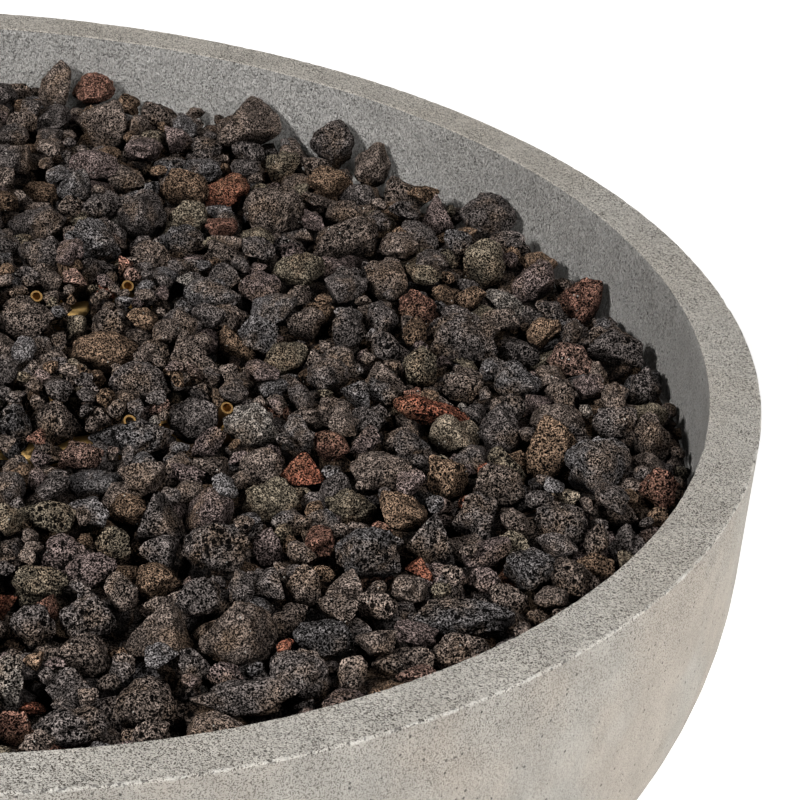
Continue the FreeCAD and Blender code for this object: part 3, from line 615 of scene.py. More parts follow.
def weather(bm):
    """Makes the faces that show slightly wavy, and chips the rim's edges. Nothing moves outwards."""
    edges = [(rim_radius, rim_height), (inner_radius, rim_height)]
    bm.normal_update()
    moves = []
    for vert in bm.verts:
        x, y, z = vert.co
        radius = math.hypot(x, y)
        if z > ledge_top + ledge_margin:
            shows = radius > inner_radius - face_slack
        else:
            shows = vert.normal.dot(Vector((x, y, 0)).normalized()) > least_outward
        if not shows:
            continue
        wave = 0.5 + 0.5 * noise.noise(vert.co / wall_wave_length)
        push = wall_waviness * wave
        edge_distance = min(math.dist((radius, z), edge) for edge in edges)
        if edge_distance < edge_chip_reach:
            chip = noise.noise(vert.co / edge_chip_length)
            chip += 0.6 * noise.noise(vert.co / (0.4 * edge_chip_length))
            closeness = 1.0 - edge_distance / edge_chip_reach
            push += edge_chip_depth * max(0.0, chip - chip_threshold) * closeness
        moves.append((vert, vert.normal * -push))
    for vert, move in moves:
        vert.co += move


def cylinder(bm, radius, start, end):
    """Adds a closed cylinder between two points."""
    axis = end - start
    turn = axis.to_track_quat("Z", "Y").to_matrix().to_4x4()
    place = Matrix.Translation((start + end) / 2.0) @ turn
    bmesh.ops.create_cone(bm, cap_ends=True, segments=round_steps, radius1=radius, radius2=radius,
                          depth=axis.length, matrix=place)


def spin_round_y(bm, profile):
    """Adds a closed shape, spun from (radius, y) points about the valve's axis."""
    verts = [bm.verts.new((radius, y, valve_height)) for radius, y in profile]
    ring = [bm.edges.new((verts[i], verts[(i + 1) % len(verts)])) for i in range(len(verts))]
    bmesh.ops.spin(bm, geom=verts + ring, cent=(0, 0, valve_height), axis=(0, 1, 0), dvec=(0, 0, 0),
                   angle=2 * math.pi, steps=round_steps, use_merge=True)


def bowl_cutters():
    """Seat and hole for the valve, and the pockets for the pads."""
    bm = bmesh.new()
    near = boss_inner_y - overshoot
    far = rim_radius + overshoot
    spin_round_y(bm, [(0.0, near), (wall_hole_radius, near), (wall_hole_radius, seat_face_y),
                      (seat_radius, seat_face_y), (seat_radius, far), (0.0, far)])
    for i in range(pad_count):
        angle = (i + 0.5) * 2 * math.pi / pad_count
        centre = Vector((pad_circle * math.cos(angle), pad_circle * math.sin(angle), foot_height))
        below = centre - Vector((0, 0, overshoot / 2))
        cylinder(bm, pad_pocket_radius, below, centre + Vector((0, 0, pad_pocket_depth)))
    bmesh.ops.remove_doubles(bm, verts=bm.verts, dist=same_point)
    bmesh.ops.dissolve_degenerate(bm, dist=1e-7, edges=bm.edges[:])
    bmesh.ops.recalc_face_normals(bm, faces=bm.faces)
    return bm


def cut_away(piece, bm):
    """Cuts a closed shape out of a piece."""
    mesh = bpy.data.meshes.new("tool")
    bm.to_mesh(mesh)
    bm.free()
    tool = bpy.data.objects.new("tool", mesh)
    bpy.context.scene.collection.objects.link(tool)
    modifier = piece.modifiers.new("boolean", "BOOLEAN")
    modifier.operation = "DIFFERENCE"
    modifier.object = tool
    modifier.solver = "EXACT"
    bpy.context.view_layer.update()
    evaluated = piece.evaluated_get(bpy.context.evaluated_depsgraph_get())
    result = bpy.data.meshes.new_from_object(evaluated)
    piece.modifiers.clear()
    piece.data = result
    bpy.data.objects.remove(tool)


def concrete_bowl():
    """The cast bowl, spun from its cross-section, weathered, and cut for the valve and the pads."""
    bm = bmesh.new()
    verts = [bm.verts.new((radius, 0.0, height)) for radius, height in bowl_profile()]
    loop = [bm.edges.new((verts[i], verts[(i + 1) % len(verts)])) for i in range(len(verts))]
    bmesh.ops.spin(bm, geom=verts + loop, cent=(0, 0, 0), axis=(0, 0, 1), dvec=(0, 0, 0),
                   angle=2 * math.pi, steps=bowl_steps, use_merge=True)
    bmesh.ops.recalc_face_normals(bm, faces=bm.faces)
    weather(bm)
    mesh = bpy.data.meshes.new("cast_bowl")
    bm.to_mesh(mesh)
    bm.free()
    bowl = add_object("cast_bowl", mesh)
    cut_away(bowl, bowl_cutters())
    add_boss(bowl.data)
    finish_bowl(bowl)
    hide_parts("bowl_shell")


def add_boss(mesh):
    """Adds the boss round the valve's hole, on the inside of the back wall."""
    bm = bmesh.new()
    bm.from_mesh(mesh)
    spin_round_y(bm, [(wall_hole_radius, boss_inner_y), (boss_radius, boss_inner_y),
                      (boss_radius, boss_outer_y), (wall_hole_radius, boss_outer_y)])
    bm.to_mesh(mesh)
    bm.free()


def finish_bowl(bowl):
    """Gives the rim, the inside and the outside their own concrete."""
    mesh = bowl.data
    mesh.materials.clear()
    # Towards the back, painted light lightens the rim and the inside, and painted shade darkens the outside
    outside = concrete("concrete_outside", grey=(0.500, 0.480, 0.445, 1), stain=(0.510, 0.461, 0.408, 1),
                       painted_back_tone=(0.95, 0.93, 0.90, 1), stipple=0.86, relief=0.0015)
    rim = concrete("concrete_rim", grey=(0.755, 0.724, 0.678, 1), stain=(0.730, 0.687, 0.629, 1),
                   painted_back_tone=(1.08, 1.06, 1.04, 1), stipple=1.0, relief=0.0022, fading=no_fading)
    inside = concrete("concrete_inside", grey=(0.660, 0.650, 0.640, 1), stain=(0.626, 0.613, 0.598, 1),
                      painted_back_tone=(1.27, 1.27, 1.27, 1), stipple=0.62, relief=0.0055, streak=0.6,
                      fading=no_fading)
    for material in (outside, rim, inside):
        mesh.materials.append(material)
    for face in mesh.polygons:
        x, y, z = face.center
        radius = math.hypot(x, y)
        if z > rim_height - rim_band:
            face.material_index = 1
        elif radius < inner_radius + inside_band and z > ledge_top - face_slack:
            face.material_index = 2
        else:
            face.material_index = 0
        face.use_smooth = True
    mesh.set_sharp_from_angle(angle=math.radians(35))


# Lava rock stones

class Stone:
    """One stone: its shape, how it is turned and stretched, where it lies, its colour and its pores."""

    def __init__(self, shape, turn, size, colour, pores):
        self.shape = shape
        self.turn = turn
        self.size = size
        self.colour = colour
        self.pores = pores
        self.place = None


def random_way(rng):
    """Random direction."""
    return Vector([rng.gauss(0, 1) for _ in range(3)]).normalized()


def broken_planes(rng, form):
    """Planes along which a ball is broken into a stone, as (direction, distance from the middle)."""
    broken = stone_forms[form]
    planes = []
    for _ in range(broken.faces):
        planes.append((random_way(rng), rng.uniform(broken.nearest, broken.farthest)))
    if form == "wedge":
        for i in range(3):
            angle = math.pi / 2 + i * 2 * math.pi / 3 + rng.uniform(-0.2, 0.2)
            way = Vector((math.cos(angle), math.sin(angle), rng.uniform(-0.2, 0.2))).normalized()
            planes.append((way, wedge_reach))
    return planes


def broken_reach(way, planes):
    """How far a broken ball reaches in a direction."""
    closeness = 1.0 + sum(max(0.0, way.dot(normal) / reach) ** edge_sharpness for normal, reach in planes)
    return closeness ** (-1.0 / edge_sharpness)


def stone_shape(rng, form, cuts, roughness):
    """Unit stone of two broken lumps, with hollows and a rough skin, and how far each point stands out."""
    bm = bmesh.new()
    bmesh.ops.create_cube(bm, size=2.0)
    bmesh.ops.subdivide_edges(bm, edges=bm.edges[:], cuts=cuts, use_grid_fill=True)
    seed = Vector([rng.uniform(-40, 40) for _ in range(3)])
    planes = broken_planes(rng, form)
    second_planes = broken_planes(rng, form)
    second_size = 0.0 if form == "wedge" else rng.uniform(0.6, 0.95)
    lumps = stone_forms[form].lumpiness
    hollows = [(random_way(rng), rng.uniform(0.22, 0.5)) for _ in range(hollow_count)]
    for vert in bm.verts:
        way = Vector([math.tan(c * math.pi / 4) for c in vert.co]).normalized()
        distance = broken_reach(way, planes)
        if second_size:
            distance = max(distance, second_size * broken_reach(way, second_planes))
        point = way * distance
        swelling = 0.10 * noise.noise(point * 2.0 + seed) + 0.11 * noise.noise(point * 4.2 + seed)
        distance *= 1.0 + lumps * swelling
        distance += lumps * 0.12 * (0.25 - abs(noise.noise(point * 5.0 + seed)))
        distance += roughness * noise.noise(point * 11.0 + seed)
        for middle, width in hollows:
            away = way.angle(middle) / width
            if away < 1.0:
                distance -= hollow_depth * width / 0.4 * (1.0 - away * away) ** 2
        vert.co = way * distance
    bm.normal_update()
    stands_out = []
    for vert in bm.verts:
        around = [edge.other_vert(vert).co for edge in vert.link_edges]
        middle = sum(around, Vector()) / len(around)
        spread = sum((co - vert.co).length for co in around) / len(around)
        stands_out.append((vert.co - middle).dot(vert.normal) / spread)
    mesh = bpy.data.meshes.new("stone")
    bm.to_mesh(mesh)
    bm.free()
    coords = np.empty(len(mesh.vertices) * 3)
    mesh.vertices.foreach_get("co", coords)
    coords = coords.reshape(-1, 3)
    coords -= (coords.max(0) + coords.min(0)) / 2
    coords /= np.abs(coords).max(0)
    corners = np.array([list(face.vertices) for face in mesh.polygons])
    middles = coords[corners].mean(1)
    bpy.data.meshes.remove(mesh)
    return {"coords": coords, "faces": corners, "samples": np.vstack([coords, middles]),
            "stands_out": np.array(stands_out)}


class RockBed:
    """Height map of the rock as it builds up, with the ceiling that loose stones keep to."""

    def __init__(self):
        self.reach = inner_radius + map_margin
        self.count = int(2 * self.reach / cell)
        steps = (np.arange(self.count) + 0.5) * cell - self.reach
        self.x, self.y = np.meshgrid(steps, steps, indexing="ij")
        self.radius = np.hypot(self.x, self.y)
        self.height = np.full((self.count, self.count), bed_level)
        self.height[self.radius > inner_radius - wall_gap] = wall_top
        waves = steps * wobbles_per_metre
        wave = np.array([[noise.noise(Vector((x, y, 3.7))) for y in waves] for x in waves])
        share = np.clip((self.radius - flat_reach) / (inner_radius - flat_reach), 0.0, 1.0)
        depth = middle_depth + (wall_depth - middle_depth) * share ** 1.5
        near_wall = np.clip((self.radius - inner_radius + dip_width) / (0.6 * dip_width), 0.0, 1.0)
        near_wall *= np.clip((self.x - dip_start) / dip_fade, 0.0, 1.0)
        self.ceiling = rim_height - depth - dip_depth * near_wall + surface_wobble * wave

    def index(self, x, y):
        return int((x + self.reach) / cell), int((y + self.reach) / cell)

    def block(self, names):
        """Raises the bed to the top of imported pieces, by rays from above."""
        trees = []
        for name in names:
            mesh = nodes[name].data
            corners = [list(face.vertices) for face in mesh.polygons]
            trees.append(BVHTree.FromPolygons([v.co for v in mesh.vertices], corners))
        near = np.argwhere(self.radius < burner_reach)
        down = Vector((0, 0, -1))
        for i, j in near:
            start = Vector((self.x[i, j], self.y[i, j], rim_height))
            for tree in trees:
                hit = tree.ray_cast(start, down)[0]
                if hit is not None:
                    self.height[i, j] = max(self.height[i, j], hit.z)

    def footprint(self, stone):
        """Lowest and highest height of a turned stone over each cell that it covers."""
        points = (stone.shape["samples"] * stone.size) @ np.array(stone.turn).T
        low_corner = points.min(0)
        across = np.floor((points[:, 0] - low_corner[0]) / cell).astype(int)
        along = np.floor((points[:, 1] - low_corner[1]) / cell).astype(int)
        shape = (across.max() + 1, along.max() + 1)
        low = np.full(shape, np.inf)
        high = np.full(shape, -np.inf)
        np.minimum.at(low, (across, along), points[:, 2])
        np.maximum.at(high, (across, along), points[:, 2])
        return low, high, low_corner

    def landing(self, marks, x, y, touching=1.0):
        """Height at which a stone rests, the gap below it, how far it passes the ceiling, and its cell."""
        low, high, corner = marks
        i, j = self.index(x + corner[0], y + corner[1])
        if i < 0 or j < 0 or i + low.shape[0] > self.count or j + low.shape[1] > self.count:
            return None
        covered = np.isfinite(low)
        ground = self.height[i:i + low.shape[0], j:j + low.shape[1]][covered]
        if ground.max() > rim_height:
            return None
        rises = ground - low[covered]
        rest = np.quantile(rises, touching) if touching < 1.0 else rises.max()
        rest -= stone_sink
        over = np.max(rest + high[covered] - self.ceiling[i:i + low.shape[0], j:j + low.shape[1]][covered])
        gap = np.mean(rest - rises)
        return rest, gap, over, (i, j)

    def lay(self, stone, marks, spot):
        """Lays a stone at a spot, with its top no higher than the rim."""
        rest, corner, x, y = spot
        low, high, _ = marks
        i, j = corner
        window = self.height[i:i + low.shape[0], j:j + low.shape[1]]
        np.maximum(window, rest + high, out=window)
        stone.place = Vector((x, y, min(rest, rim_height - high.max())))

    def keep_sight(self, point, half_width, reach):
        """Keeps loose stones out of the camera's view of a point, as far as the reach in front of it."""
        sight = Vector((camera_place.x - point.x, camera_place.y - point.y))
        rise = (camera_place.z - point.z) / sight.length
        sight.normalize()
        ahead = (self.x - point.x) * sight.x + (self.y - point.y) * sight.y
        aside = np.abs((self.x - point.x) * sight.y - (self.y - point.y) * sight.x)
        lane = (aside < half_width) & (ahead > sight_start) & (ahead < reach)
        line = point.z + ahead * rise
        self.ceiling[lane] = np.minimum(self.ceiling[lane], line[lane])

    def level_around(self):
        """Height of the rock, evened out over a stone's width."""
        level = np.minimum(self.height, rim_height - middle_depth)
        reach = int(even_out / cell)
        weights = np.hanning(2 * reach + 3)[1:-1]
        weights /= weights.sum()
        for axis in (0, 1):
            padded = np.pad(level, [(reach, reach) if a == axis else (0, 0) for a in (0, 1)], mode="edge")
            level = np.apply_along_axis(lambda row: np.convolve(row, weights, mode="valid"), axis, padded)
        return level


def painted_depth_shade(bed, level, points):
    """Painted shade and light: darkens the parts of stones that lie deep between the others, and lightens the
    parts that stand high above them.
    """
    i = np.clip(((points[:, 0] + bed.reach) / cell).astype(int), 0, bed.count - 1)
    j = np.clip(((points[:, 1] + bed.reach) / cell).astype(int), 0, bed.count - 1)
    above = points[:, 2] - level[i, j]
    share = np.clip((above - darkest_depth) / (lightest_height - darkest_depth), 0.0, 1.0)
    return darkest_share + (lightest_share - darkest_share) * share * share * (3 - 2 * share)


def anywhere(rng):
    """Random place inside the bowl."""
    distance = inner_radius * math.sqrt(rng.random())
    angle = rng.uniform(0, 2 * math.pi)
    return distance * math.cos(angle), distance * math.sin(angle)


def drop_stones(bed, rng, shapes, layer, pick_place=anywhere):
    """Drops stones one by one. Each takes the turn and place, of those tried, where it lies best."""
    laid = []
    misses = 0
    while len(laid) < layer.most and misses < layer.patience:
        stone = random_stone(rng, shapes, layer)
        best = None
        for _ in range(layer.turns):
            stone.turn = random_turn(rng)
            marks = bed.footprint(stone)
            for _ in range(layer.places):
                x, y = pick_place(rng)
                found = bed.landing(marks, x, y)
                if found is None or found[2] > layer.allowed_over:
                    continue
                score = found[2] + gap_weight * found[1]
                if best is None or score < best[0]:
                    best = (score, stone.turn.copy(), marks, (found[0], found[3], x, y))
        if best is None:
            misses += 1
            continue
        misses = 0
        stone.turn = best[1]
        bed.lay(stone, best[2], best[3])
        laid.append(stone)
    return laid


def random_turn(rng):
    """Turn with the stone mostly on its flat side."""
    tilt_x = rng.gauss(0, usual_tilt)
    tilt_y = rng.gauss(0, usual_tilt)
    return Euler((tilt_x, tilt_y, rng.uniform(0, 2 * math.pi))).to_matrix()


def pick_tint(rng):
    """Colour of a loose stone, with its own lightness."""
    mark = rng.uniform(0, sum(share for _, share in tint_shares))
    for tint, share in tint_shares:
        mark -= share
        if mark <= 0:
            break
    return lit_tint(rng, tint)


def lit_tint(rng, tint):
    """Named tint, a little lighter or darker."""
    light = rng.uniform(0.8, 1.2)
    return tuple(c * light for c in stone_tints[tint])


def random_stone(rng, shapes, layer):
    """Stone of one of these shapes, more often short than long for its layer."""
    length = layer.shortest + (layer.longest - layer.shortest) * rng.random() ** 1.4
    size = np.array([1.0, rng.uniform(0.66, 0.98), rng.uniform(0.5, 0.84)]) * length / 2
    return Stone(rng.choice(shapes), None, size, pick_tint(rng), rng.random())


def camera_axes():
    """Directions in which the camera looks, and in which the picture runs right and down."""
    forward = Vector((math.sin(camera_yaw) * math.cos(camera_pitch),
                      math.cos(camera_yaw) * math.cos(camera_pitch), -math.sin(camera_pitch)))
    level = Vector((math.cos(camera_yaw), -math.sin(camera_yaw), 0.0))
    steep = forward.cross(level)
    right = math.cos(camera_roll) * level + math.sin(camera_roll) * steep
    down = -math.sin(camera_roll) * level + math.cos(camera_roll) * steep
    return forward, right, down


def place_seen_stone(bed, rng, seen):
    """Makes a stone of the photograph, and slides it down its line of sight until it touches rock or wall."""
    forward, right, down = camera_axes()
    half_picture = picture_size / 2
    sight = forward + right * ((seen.across - half_picture) / picture_scale)
    sight += down * ((seen.down - half_picture) / picture_scale)
    tilt = math.radians(seen.tilt)
    first = right * math.cos(tilt) + down * math.sin(tilt)
    second = down * math.cos(tilt) - right * math.sin(tilt)
    turn = Matrix((first, second, forward)).transposed()
    metres_per_pixel = (seen_level - camera_place.z) / sight.z / picture_scale
    width = seen.width * metres_per_pixel
    height = seen.height * metres_per_pixel
    depth = seen_thickness * math.sqrt(width * height)
    size = np.array([width, height, depth]) / 2 * seen_swelling
    shape = stone_shape(rng, seen.form, seen_cuts, seen_roughness)
    stone = Stone(shape, turn, size, lit_tint(rng, seen.tint), seen.pores)
    marks = bed.footprint(stone)
    z = highest_stone - marks[1].max()
    spot = None
    while z > bed_level:
        point = camera_place + sight * ((z - camera_place.z) / sight.z)
        found = bed.landing(marks, point.x, point.y, seen_touching)
        if found is None:
            break
        spot = (z, found[3], point.x, point.y)
        if found[0] >= z:
            break
        z -= slide_step
    return stone, marks, spot


def seen_rock(bed, rng):
    """Lays the stones that stand out in the photograph, and keeps the view of each one clear."""
    placed = []
    for seen in seen_stones:
        stone, marks, spot = place_seen_stone(bed, rng, seen)
        if spot is not None:
            placed.append((stone, marks, spot))
    for stone, marks, spot in placed:
        bed.lay(stone, marks, spot)
    for stone, marks, spot in placed:
        low, high, _ = marks
        i, j = spot[1]
        own = bed.ceiling[i:i + low.shape[0], j:j + low.shape[1]]
        own[np.isfinite(low)] = np.minimum(own, spot[0] + high.max())[np.isfinite(low)]
        foot = Vector((stone.place.x, stone.place.y, stone.place.z - 0.45 * high.max()))
        bed.keep_sight(foot, 0.8 * stone.size[0], seen_sight_reach)
    return [stone for stone, _, _ in placed]


def burner_to_bowl(point):
    """Point of the burner, turned with it about the bowl's axis."""
    return Matrix.Rotation(burner_turn, 3, "Z") @ Vector(point)


def jet_mouths():
    """Middle of each jet's mouth, and the side to which the jet leans."""
    mouths = []
    for bar_side in (-1, 1):
        for half in (-1, 1):
            for i in range(jets_per_half_bar):
                lean = -1 if i % 2 else 1
                along = half * (first_jet + i * jet_pitch)
                across = bar_side * bar_offset + lean * jet_reach * math.sin(jet_lean)
                mouth = burner_to_bowl((along, across, bar_height + jet_reach * math.cos(jet_lean)))
                mouths.append((mouth, lean))
    return mouths


def shape_ceiling(bed):
    """Keeps the view of the jets that lean to the front clear, and lets rock cover the others."""
    for mouth, lean in jet_mouths():
        away = np.hypot(bed.x - mouth.x, bed.y - mouth.y)
        if lean > 0:
            bed.ceiling[away < cover_radius] = cover_ceiling
    for mouth, lean in jet_mouths():
        if lean < 0:
            away = np.hypot(bed.x - mouth.x, bed.y - mouth.y)
            near = away < open_radius
            bed.ceiling[near] = np.minimum(bed.ceiling[near], mouth.z + open_rise)
            bed.keep_sight(mouth - Vector((0, 0, mouth_drop)), mouth_sight_width, mouth_sight_reach)


def hidden(bed, point):
    """True when the rock stands between the camera and a point."""
    sight = camera_place - point
    run = math.hypot(sight.x, sight.y)
    for step in range(hiding_steps):
        place = point + sight * ((hiding_start + step * cell) / run)
        if bed.height[bed.index(place.x, place.y)] > place.z:
            return True
    return False


def cover_jets(bed, rng, shapes):
    """Lays stones in front of each jet that leans to the back, until the camera can't see it."""
    covers = []
    ahead = Vector((camera_place.x, camera_place.y, 0)).normalized()
    aside = Vector((-ahead.y, ahead.x, 0))
    for mouth, lean in jet_mouths():
        if lean < 0:
            continue
        top = mouth + Vector((0, 0, mouth_rise))
        sides = [top + side * aside for side in (-mouth_reach, 0.0, mouth_reach)]

        def close_by(source, mouth=mouth):
            forwards = source.uniform(cover_near, cover_far)
            sideways = source.uniform(-cover_aside, cover_aside)
            place = mouth + forwards * ahead + sideways * aside
            return place.x, place.y

        for _ in range(most_covers):
            if all(hidden(bed, side) for side in sides):
                break
            covers += drop_stones(bed, rng, shapes, cover_layer, close_by)
    return covers


def tuck_stones(bed, rng, shapes):
    """Tucks small stones round the jets and over the bars, so that only the mouths show."""
    def near_jet(source):
        mouth, _ = source.choice(mouths)
        distance = source.uniform(tuck_near, tuck_far)
        angle = source.uniform(0, 2 * math.pi)
        return mouth.x + distance * math.cos(angle), mouth.y + distance * math.sin(angle)

    def over_bar(source):
        along = source.uniform(-bar_half_length, bar_half_length)
        across = source.choice((-bar_offset, bar_offset)) + source.uniform(-bar_spread, bar_spread)
        point = burner_to_bowl((along, across, 0))
        return point.x, point.y

    mouths = jet_mouths()
    tucked = drop_stones(bed, rng, shapes, bar_layer, over_bar)
    tucked += drop_stones(bed, rng, shapes, jet_layer, near_jet)
    return tucked


def stone_pieces(bed, level, stones, name, most=stones_per_piece):
    """Joins stones into a few pieces, each stone with its colour and pores on its points; its colour holds
    painted shade and light by depth, and a painted highlight on its edges with painted shade in its hollows.
    """
    pieces = []
    for first in range(0, len(stones), most):
        coords = []
        corners = []
        colours = []
        pores = []
        start = 0
        for stone in stones[first:first + most]:
            points = (stone.shape["coords"] * stone.size) @ np.array(stone.turn).T + np.array(stone.place)
            # Painted highlight on the edges that stand out and painted shade in the hollows, which go into
            # the stone's colour with the painted depth shade
            painted_edge_light = 1.0 + edge_contrast * stone.shape["stands_out"]
            painted_edge_light = np.clip(painted_edge_light, darkest_hollow, lightest_edge)
            tint = np.ones((len(points), 4))
            tint[:, :3] = np.array(stone.colour) * (painted_edge_light * painted_depth_shade(bed, level, points))[:, None]
            coords.append(points)
            corners.append(stone.shape["faces"] + start)
            colours.append(tint)
            pores.append(np.full(len(points), stone.pores))
            start += len(points)
        mesh = bpy.data.meshes.new(name)
        mesh.from_pydata(np.vstack(coords), [], np.vstack(corners))
        tint_layer = mesh.attributes.new("stone_colour_and_painted_shade", "FLOAT_COLOR", "POINT")
        tint_layer.data.foreach_set("color", np.vstack(colours).astype(np.float32).ravel())
        pore_layer = mesh.attributes.new("stone_pores", "FLOAT", "POINT")
        pore_layer.data.foreach_set("value", np.concatenate(pores))
        mesh.shade_smooth()
        mesh.set_sharp_from_angle(angle=stone_crease)
        mesh.materials.append(lava)
        pieces.append(add_object("%s_%d" % (name, len(pieces) + 1), mesh))
    for piece in pieces:
        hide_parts("lava_rock_stones")


def bubbles(tree, place, scale, smallest, biggest, share, size=1.0):
    """Round pores of mixed sizes, as a height from 0 in their middle to 1 on the rock between them."""
    distance, numbers = cells(tree, place, scale)
    limit = math_node(tree, "MULTIPLY", ramp(tree, numbers[0], 1.0 - share, 1.0, smallest, biggest), size)
    return ramp(tree, math_node(tree, "SUBTRACT", distance, limit), -0.08, 0.06)


def lava_material(name, on_stones):
    """Porous volcanic rock: pores of three sizes with painted shade in them, a crumbly skin, dusty patches
    and small pale crystals.
    """
    material, tree, shader, place = new_material(name)
    # Stone colour with painted shade and light from depth, edges and hollows
    base = attribute(tree, "stone_colour_and_painted_shade", "Color") if on_stones else (0.035, 0.03, 0.027, 1)
    porous = attribute(tree, "stone_pores") if on_stones else 0.5
    dust = ramp(tree, noise_texture(tree, place, 34.0, 3.0, 0.6), 0.46, 0.7, 0.0, 0.5)
    base = mix_colours(tree, dust, base, (0.120, 0.080, 0.052, 1))
    patch_light = ramp(tree, noise_texture(tree, place, 120.0, 3.0, 0.65), 0.3, 0.7, 0.6, 1.4)
    bent = add_node(tree, "ShaderNodeTexNoise", Vector=place, Scale=420.0, Detail=2.0).outputs["Color"]
    bent = add_node(tree, "ShaderNodeVectorMath", {"operation": "MULTIPLY_ADD"}, _0=bent,
                    _1=(0.0014, 0.0014, 0.0014), _2=place).outputs[0]
    crumb = noise_texture(tree, bent, 900.0, 1.0, 0.7)
    crumb_light = ramp(tree, crumb, 0.39, 0.64, 0.20, 3.6)
    fine = bubbles(tree, bent, 620.0, 0.22, 0.52, 1.0)
    middle_size = bubbles(tree, bent, 400.0, 0.0, 0.52, 0.7, ramp(tree, porous, 0.1, 0.9, 0.2, 1.0))
    big = bubbles(tree, bent, 200.0, 0.0, 0.46, 0.45, ramp(tree, porous, 0.3, 1.0, 0.0, 1.0))
    open_rock = math_node(tree, "MULTIPLY", middle_size, big)
    # Painted shade in the pores: fine pores darken the colour down to fine_dark, middle and big ones down to
    # 0.04
    fine_dark = ramp(tree, porous, 0.0, 0.45, 0.22, 0.03)
    fine_pore_shade = math_node(tree, "MAXIMUM", fine, fine_dark)
    skin = math_node(tree, "MULTIPLY", fine_pore_shade, crumb_light)
    skin = math_node(tree, "MULTIPLY", skin, ramp(tree, open_rock, 0.0, 1.0, 0.04, 1.0))
    skin = math_node(tree, "MULTIPLY", skin, patch_light)
    colour = shade(tree, base, skin)
    speck_distance, speck_numbers = cells(tree, place, 270.0)
    speck_limit = ramp(tree, speck_numbers[2], 0.9, 1.0, 0.0, 0.2)
    speck = ramp(tree, math_node(tree, "SUBTRACT", speck_limit, speck_distance), -0.01, 0.04)
    colour = mix_colours(tree, speck, colour, (0.55, 0.53, 0.50, 1))
    tree.links.new(colour, shader.inputs["Base Color"])
    tree.links.new(ramp(tree, skin, 0.3, 2.5, 0.95, 0.45), shader.inputs["Roughness"])
    shader.inputs["Specular IOR Level"].default_value = 0.08
    rough = bump(tree, crumb, 0.0011, 1.0)
    small = bump(tree, fine, 0.0009, 1.0, rough)
    medium = bump(tree, middle_size, 0.0016, 1.0, small)
    tree.links.new(bump(tree, big, 0.0028, 1.0, medium), shader.inputs["Normal"])
    return material


def rock_fill():
    """Dark crushed rock below the stones: it fills the pan, with an uneven top."""
    pan_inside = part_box("burner_pan")[0].z + pan_sheet
    outer = inner_radius - fill_gap
    flange = ledge_top + fill_above_ledge
    profile = [(0.0, pan_inside), (pan_inner_radius, pan_inside), (pan_inner_radius, flange), (outer, flange)]
    profile += straight((outer, bed_level), (0.0, bed_level), fill_rings)
    bm = bmesh.new()
    verts = [bm.verts.new((radius, 0.0, height)) for radius, height in profile]
    ring = [bm.edges.new((verts[i], verts[i + 1])) for i in range(len(verts) - 1)]
    bmesh.ops.spin(bm, geom=verts + ring, cent=(0, 0, 0), axis=(0, 0, 1), dvec=(0, 0, 0),
                   angle=2 * math.pi, steps=fill_steps, use_merge=True)
    bmesh.ops.remove_doubles(bm, verts=bm.verts, dist=same_point)
    bmesh.ops.recalc_face_normals(bm, faces=bm.faces)
    for vert in bm.verts:
        on_top = vert.co.z > bed_level - face_slack / 2
        if on_top and math.hypot(vert.co.x, vert.co.y) < outer - face_slack:
            vert.co.z += fill_unevenness * (noise.noise(vert.co * fill_grain) - 0.5)
    mesh = bpy.data.meshes.new("rock_fill")
    bm.to_mesh(mesh)
    bm.free()
    mesh.shade_smooth()
    mesh.materials.append(lava_material("lava_rock_below", False))
    piece = add_object("rock_fill", mesh)
    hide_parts("lava_rock_bed")


def shape_set(rng, count, cuts, roughness):
    """Several stone shapes of the four forms."""
    return [stone_shape(rng, form_order[i % len(form_order)], cuts, roughness) for i in range(count)]


def lava_rock():
    """Lays the stones below, those of the photograph, those round the jets, and loose and small ones."""
    rng = random.Random(stone_seed)
    plain_shapes = shape_set(rng, count=14, cuts=2, roughness=0.03)
    main_shapes = shape_set(rng, count=70, cuts=7, roughness=0.025)
    small_shapes = shape_set(rng, count=28, cuts=4, roughness=0.03)
    bed = RockBed()
    bed.block(burner_nodes)
    shape_ceiling(bed)
    lower = drop_stones(bed, rng, plain_shapes, lower_layer)
    seen = seen_rock(bed, rng)
    covers = cover_jets(bed, rng, main_shapes)
    tucked = tuck_stones(bed, rng, small_shapes)
    upper = drop_stones(bed, rng, main_shapes, upper_layer)
    small = drop_stones(bed, rng, small_shapes, small_layer)
    level = bed.level_around()
    stone_pieces(bed, level, lower, "lower_stones", 2 * stones_per_piece)
    stone_pieces(bed, level, seen, "seen_stones", seen_per_piece)
    stone_pieces(bed, level, tucked, "tucked_stones", 2 * stones_per_piece)
    stone_pieces(bed, level, covers + upper, "lava_stones")
    stone_pieces(bed, level, small, "small_stones", 2 * stones_per_piece)


# Metals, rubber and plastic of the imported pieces

def metal(name, colour, roughness, smear, scratches):
    """Metal with a soft smear in its shine and fine scratches."""
    material, tree, shader, place = new_material(name)
    smears = noise_texture(tree, place, 60.0, 4.0, 0.6)
    darker = tuple(0.78 * c for c in colour[:3]) + (1,)
    tone = mix_colours(tree, ramp(tree, smears, 0.3, 0.75), colour, darker)
    tree.links.new(tone, shader.inputs["Base Color"])
    shader.inputs["Metallic"].default_value = 1.0
    shine = ramp(tree, smears, 0.25, 0.75, roughness, roughness + smear)
    tree.links.new(shine, shader.inputs["Roughness"])
    lines = noise_texture(tree, place, 1500.0, 2.0)
    tree.links.new(bump(tree, lines, 0.0001, scratches), shader.inputs["Normal"])
    return material


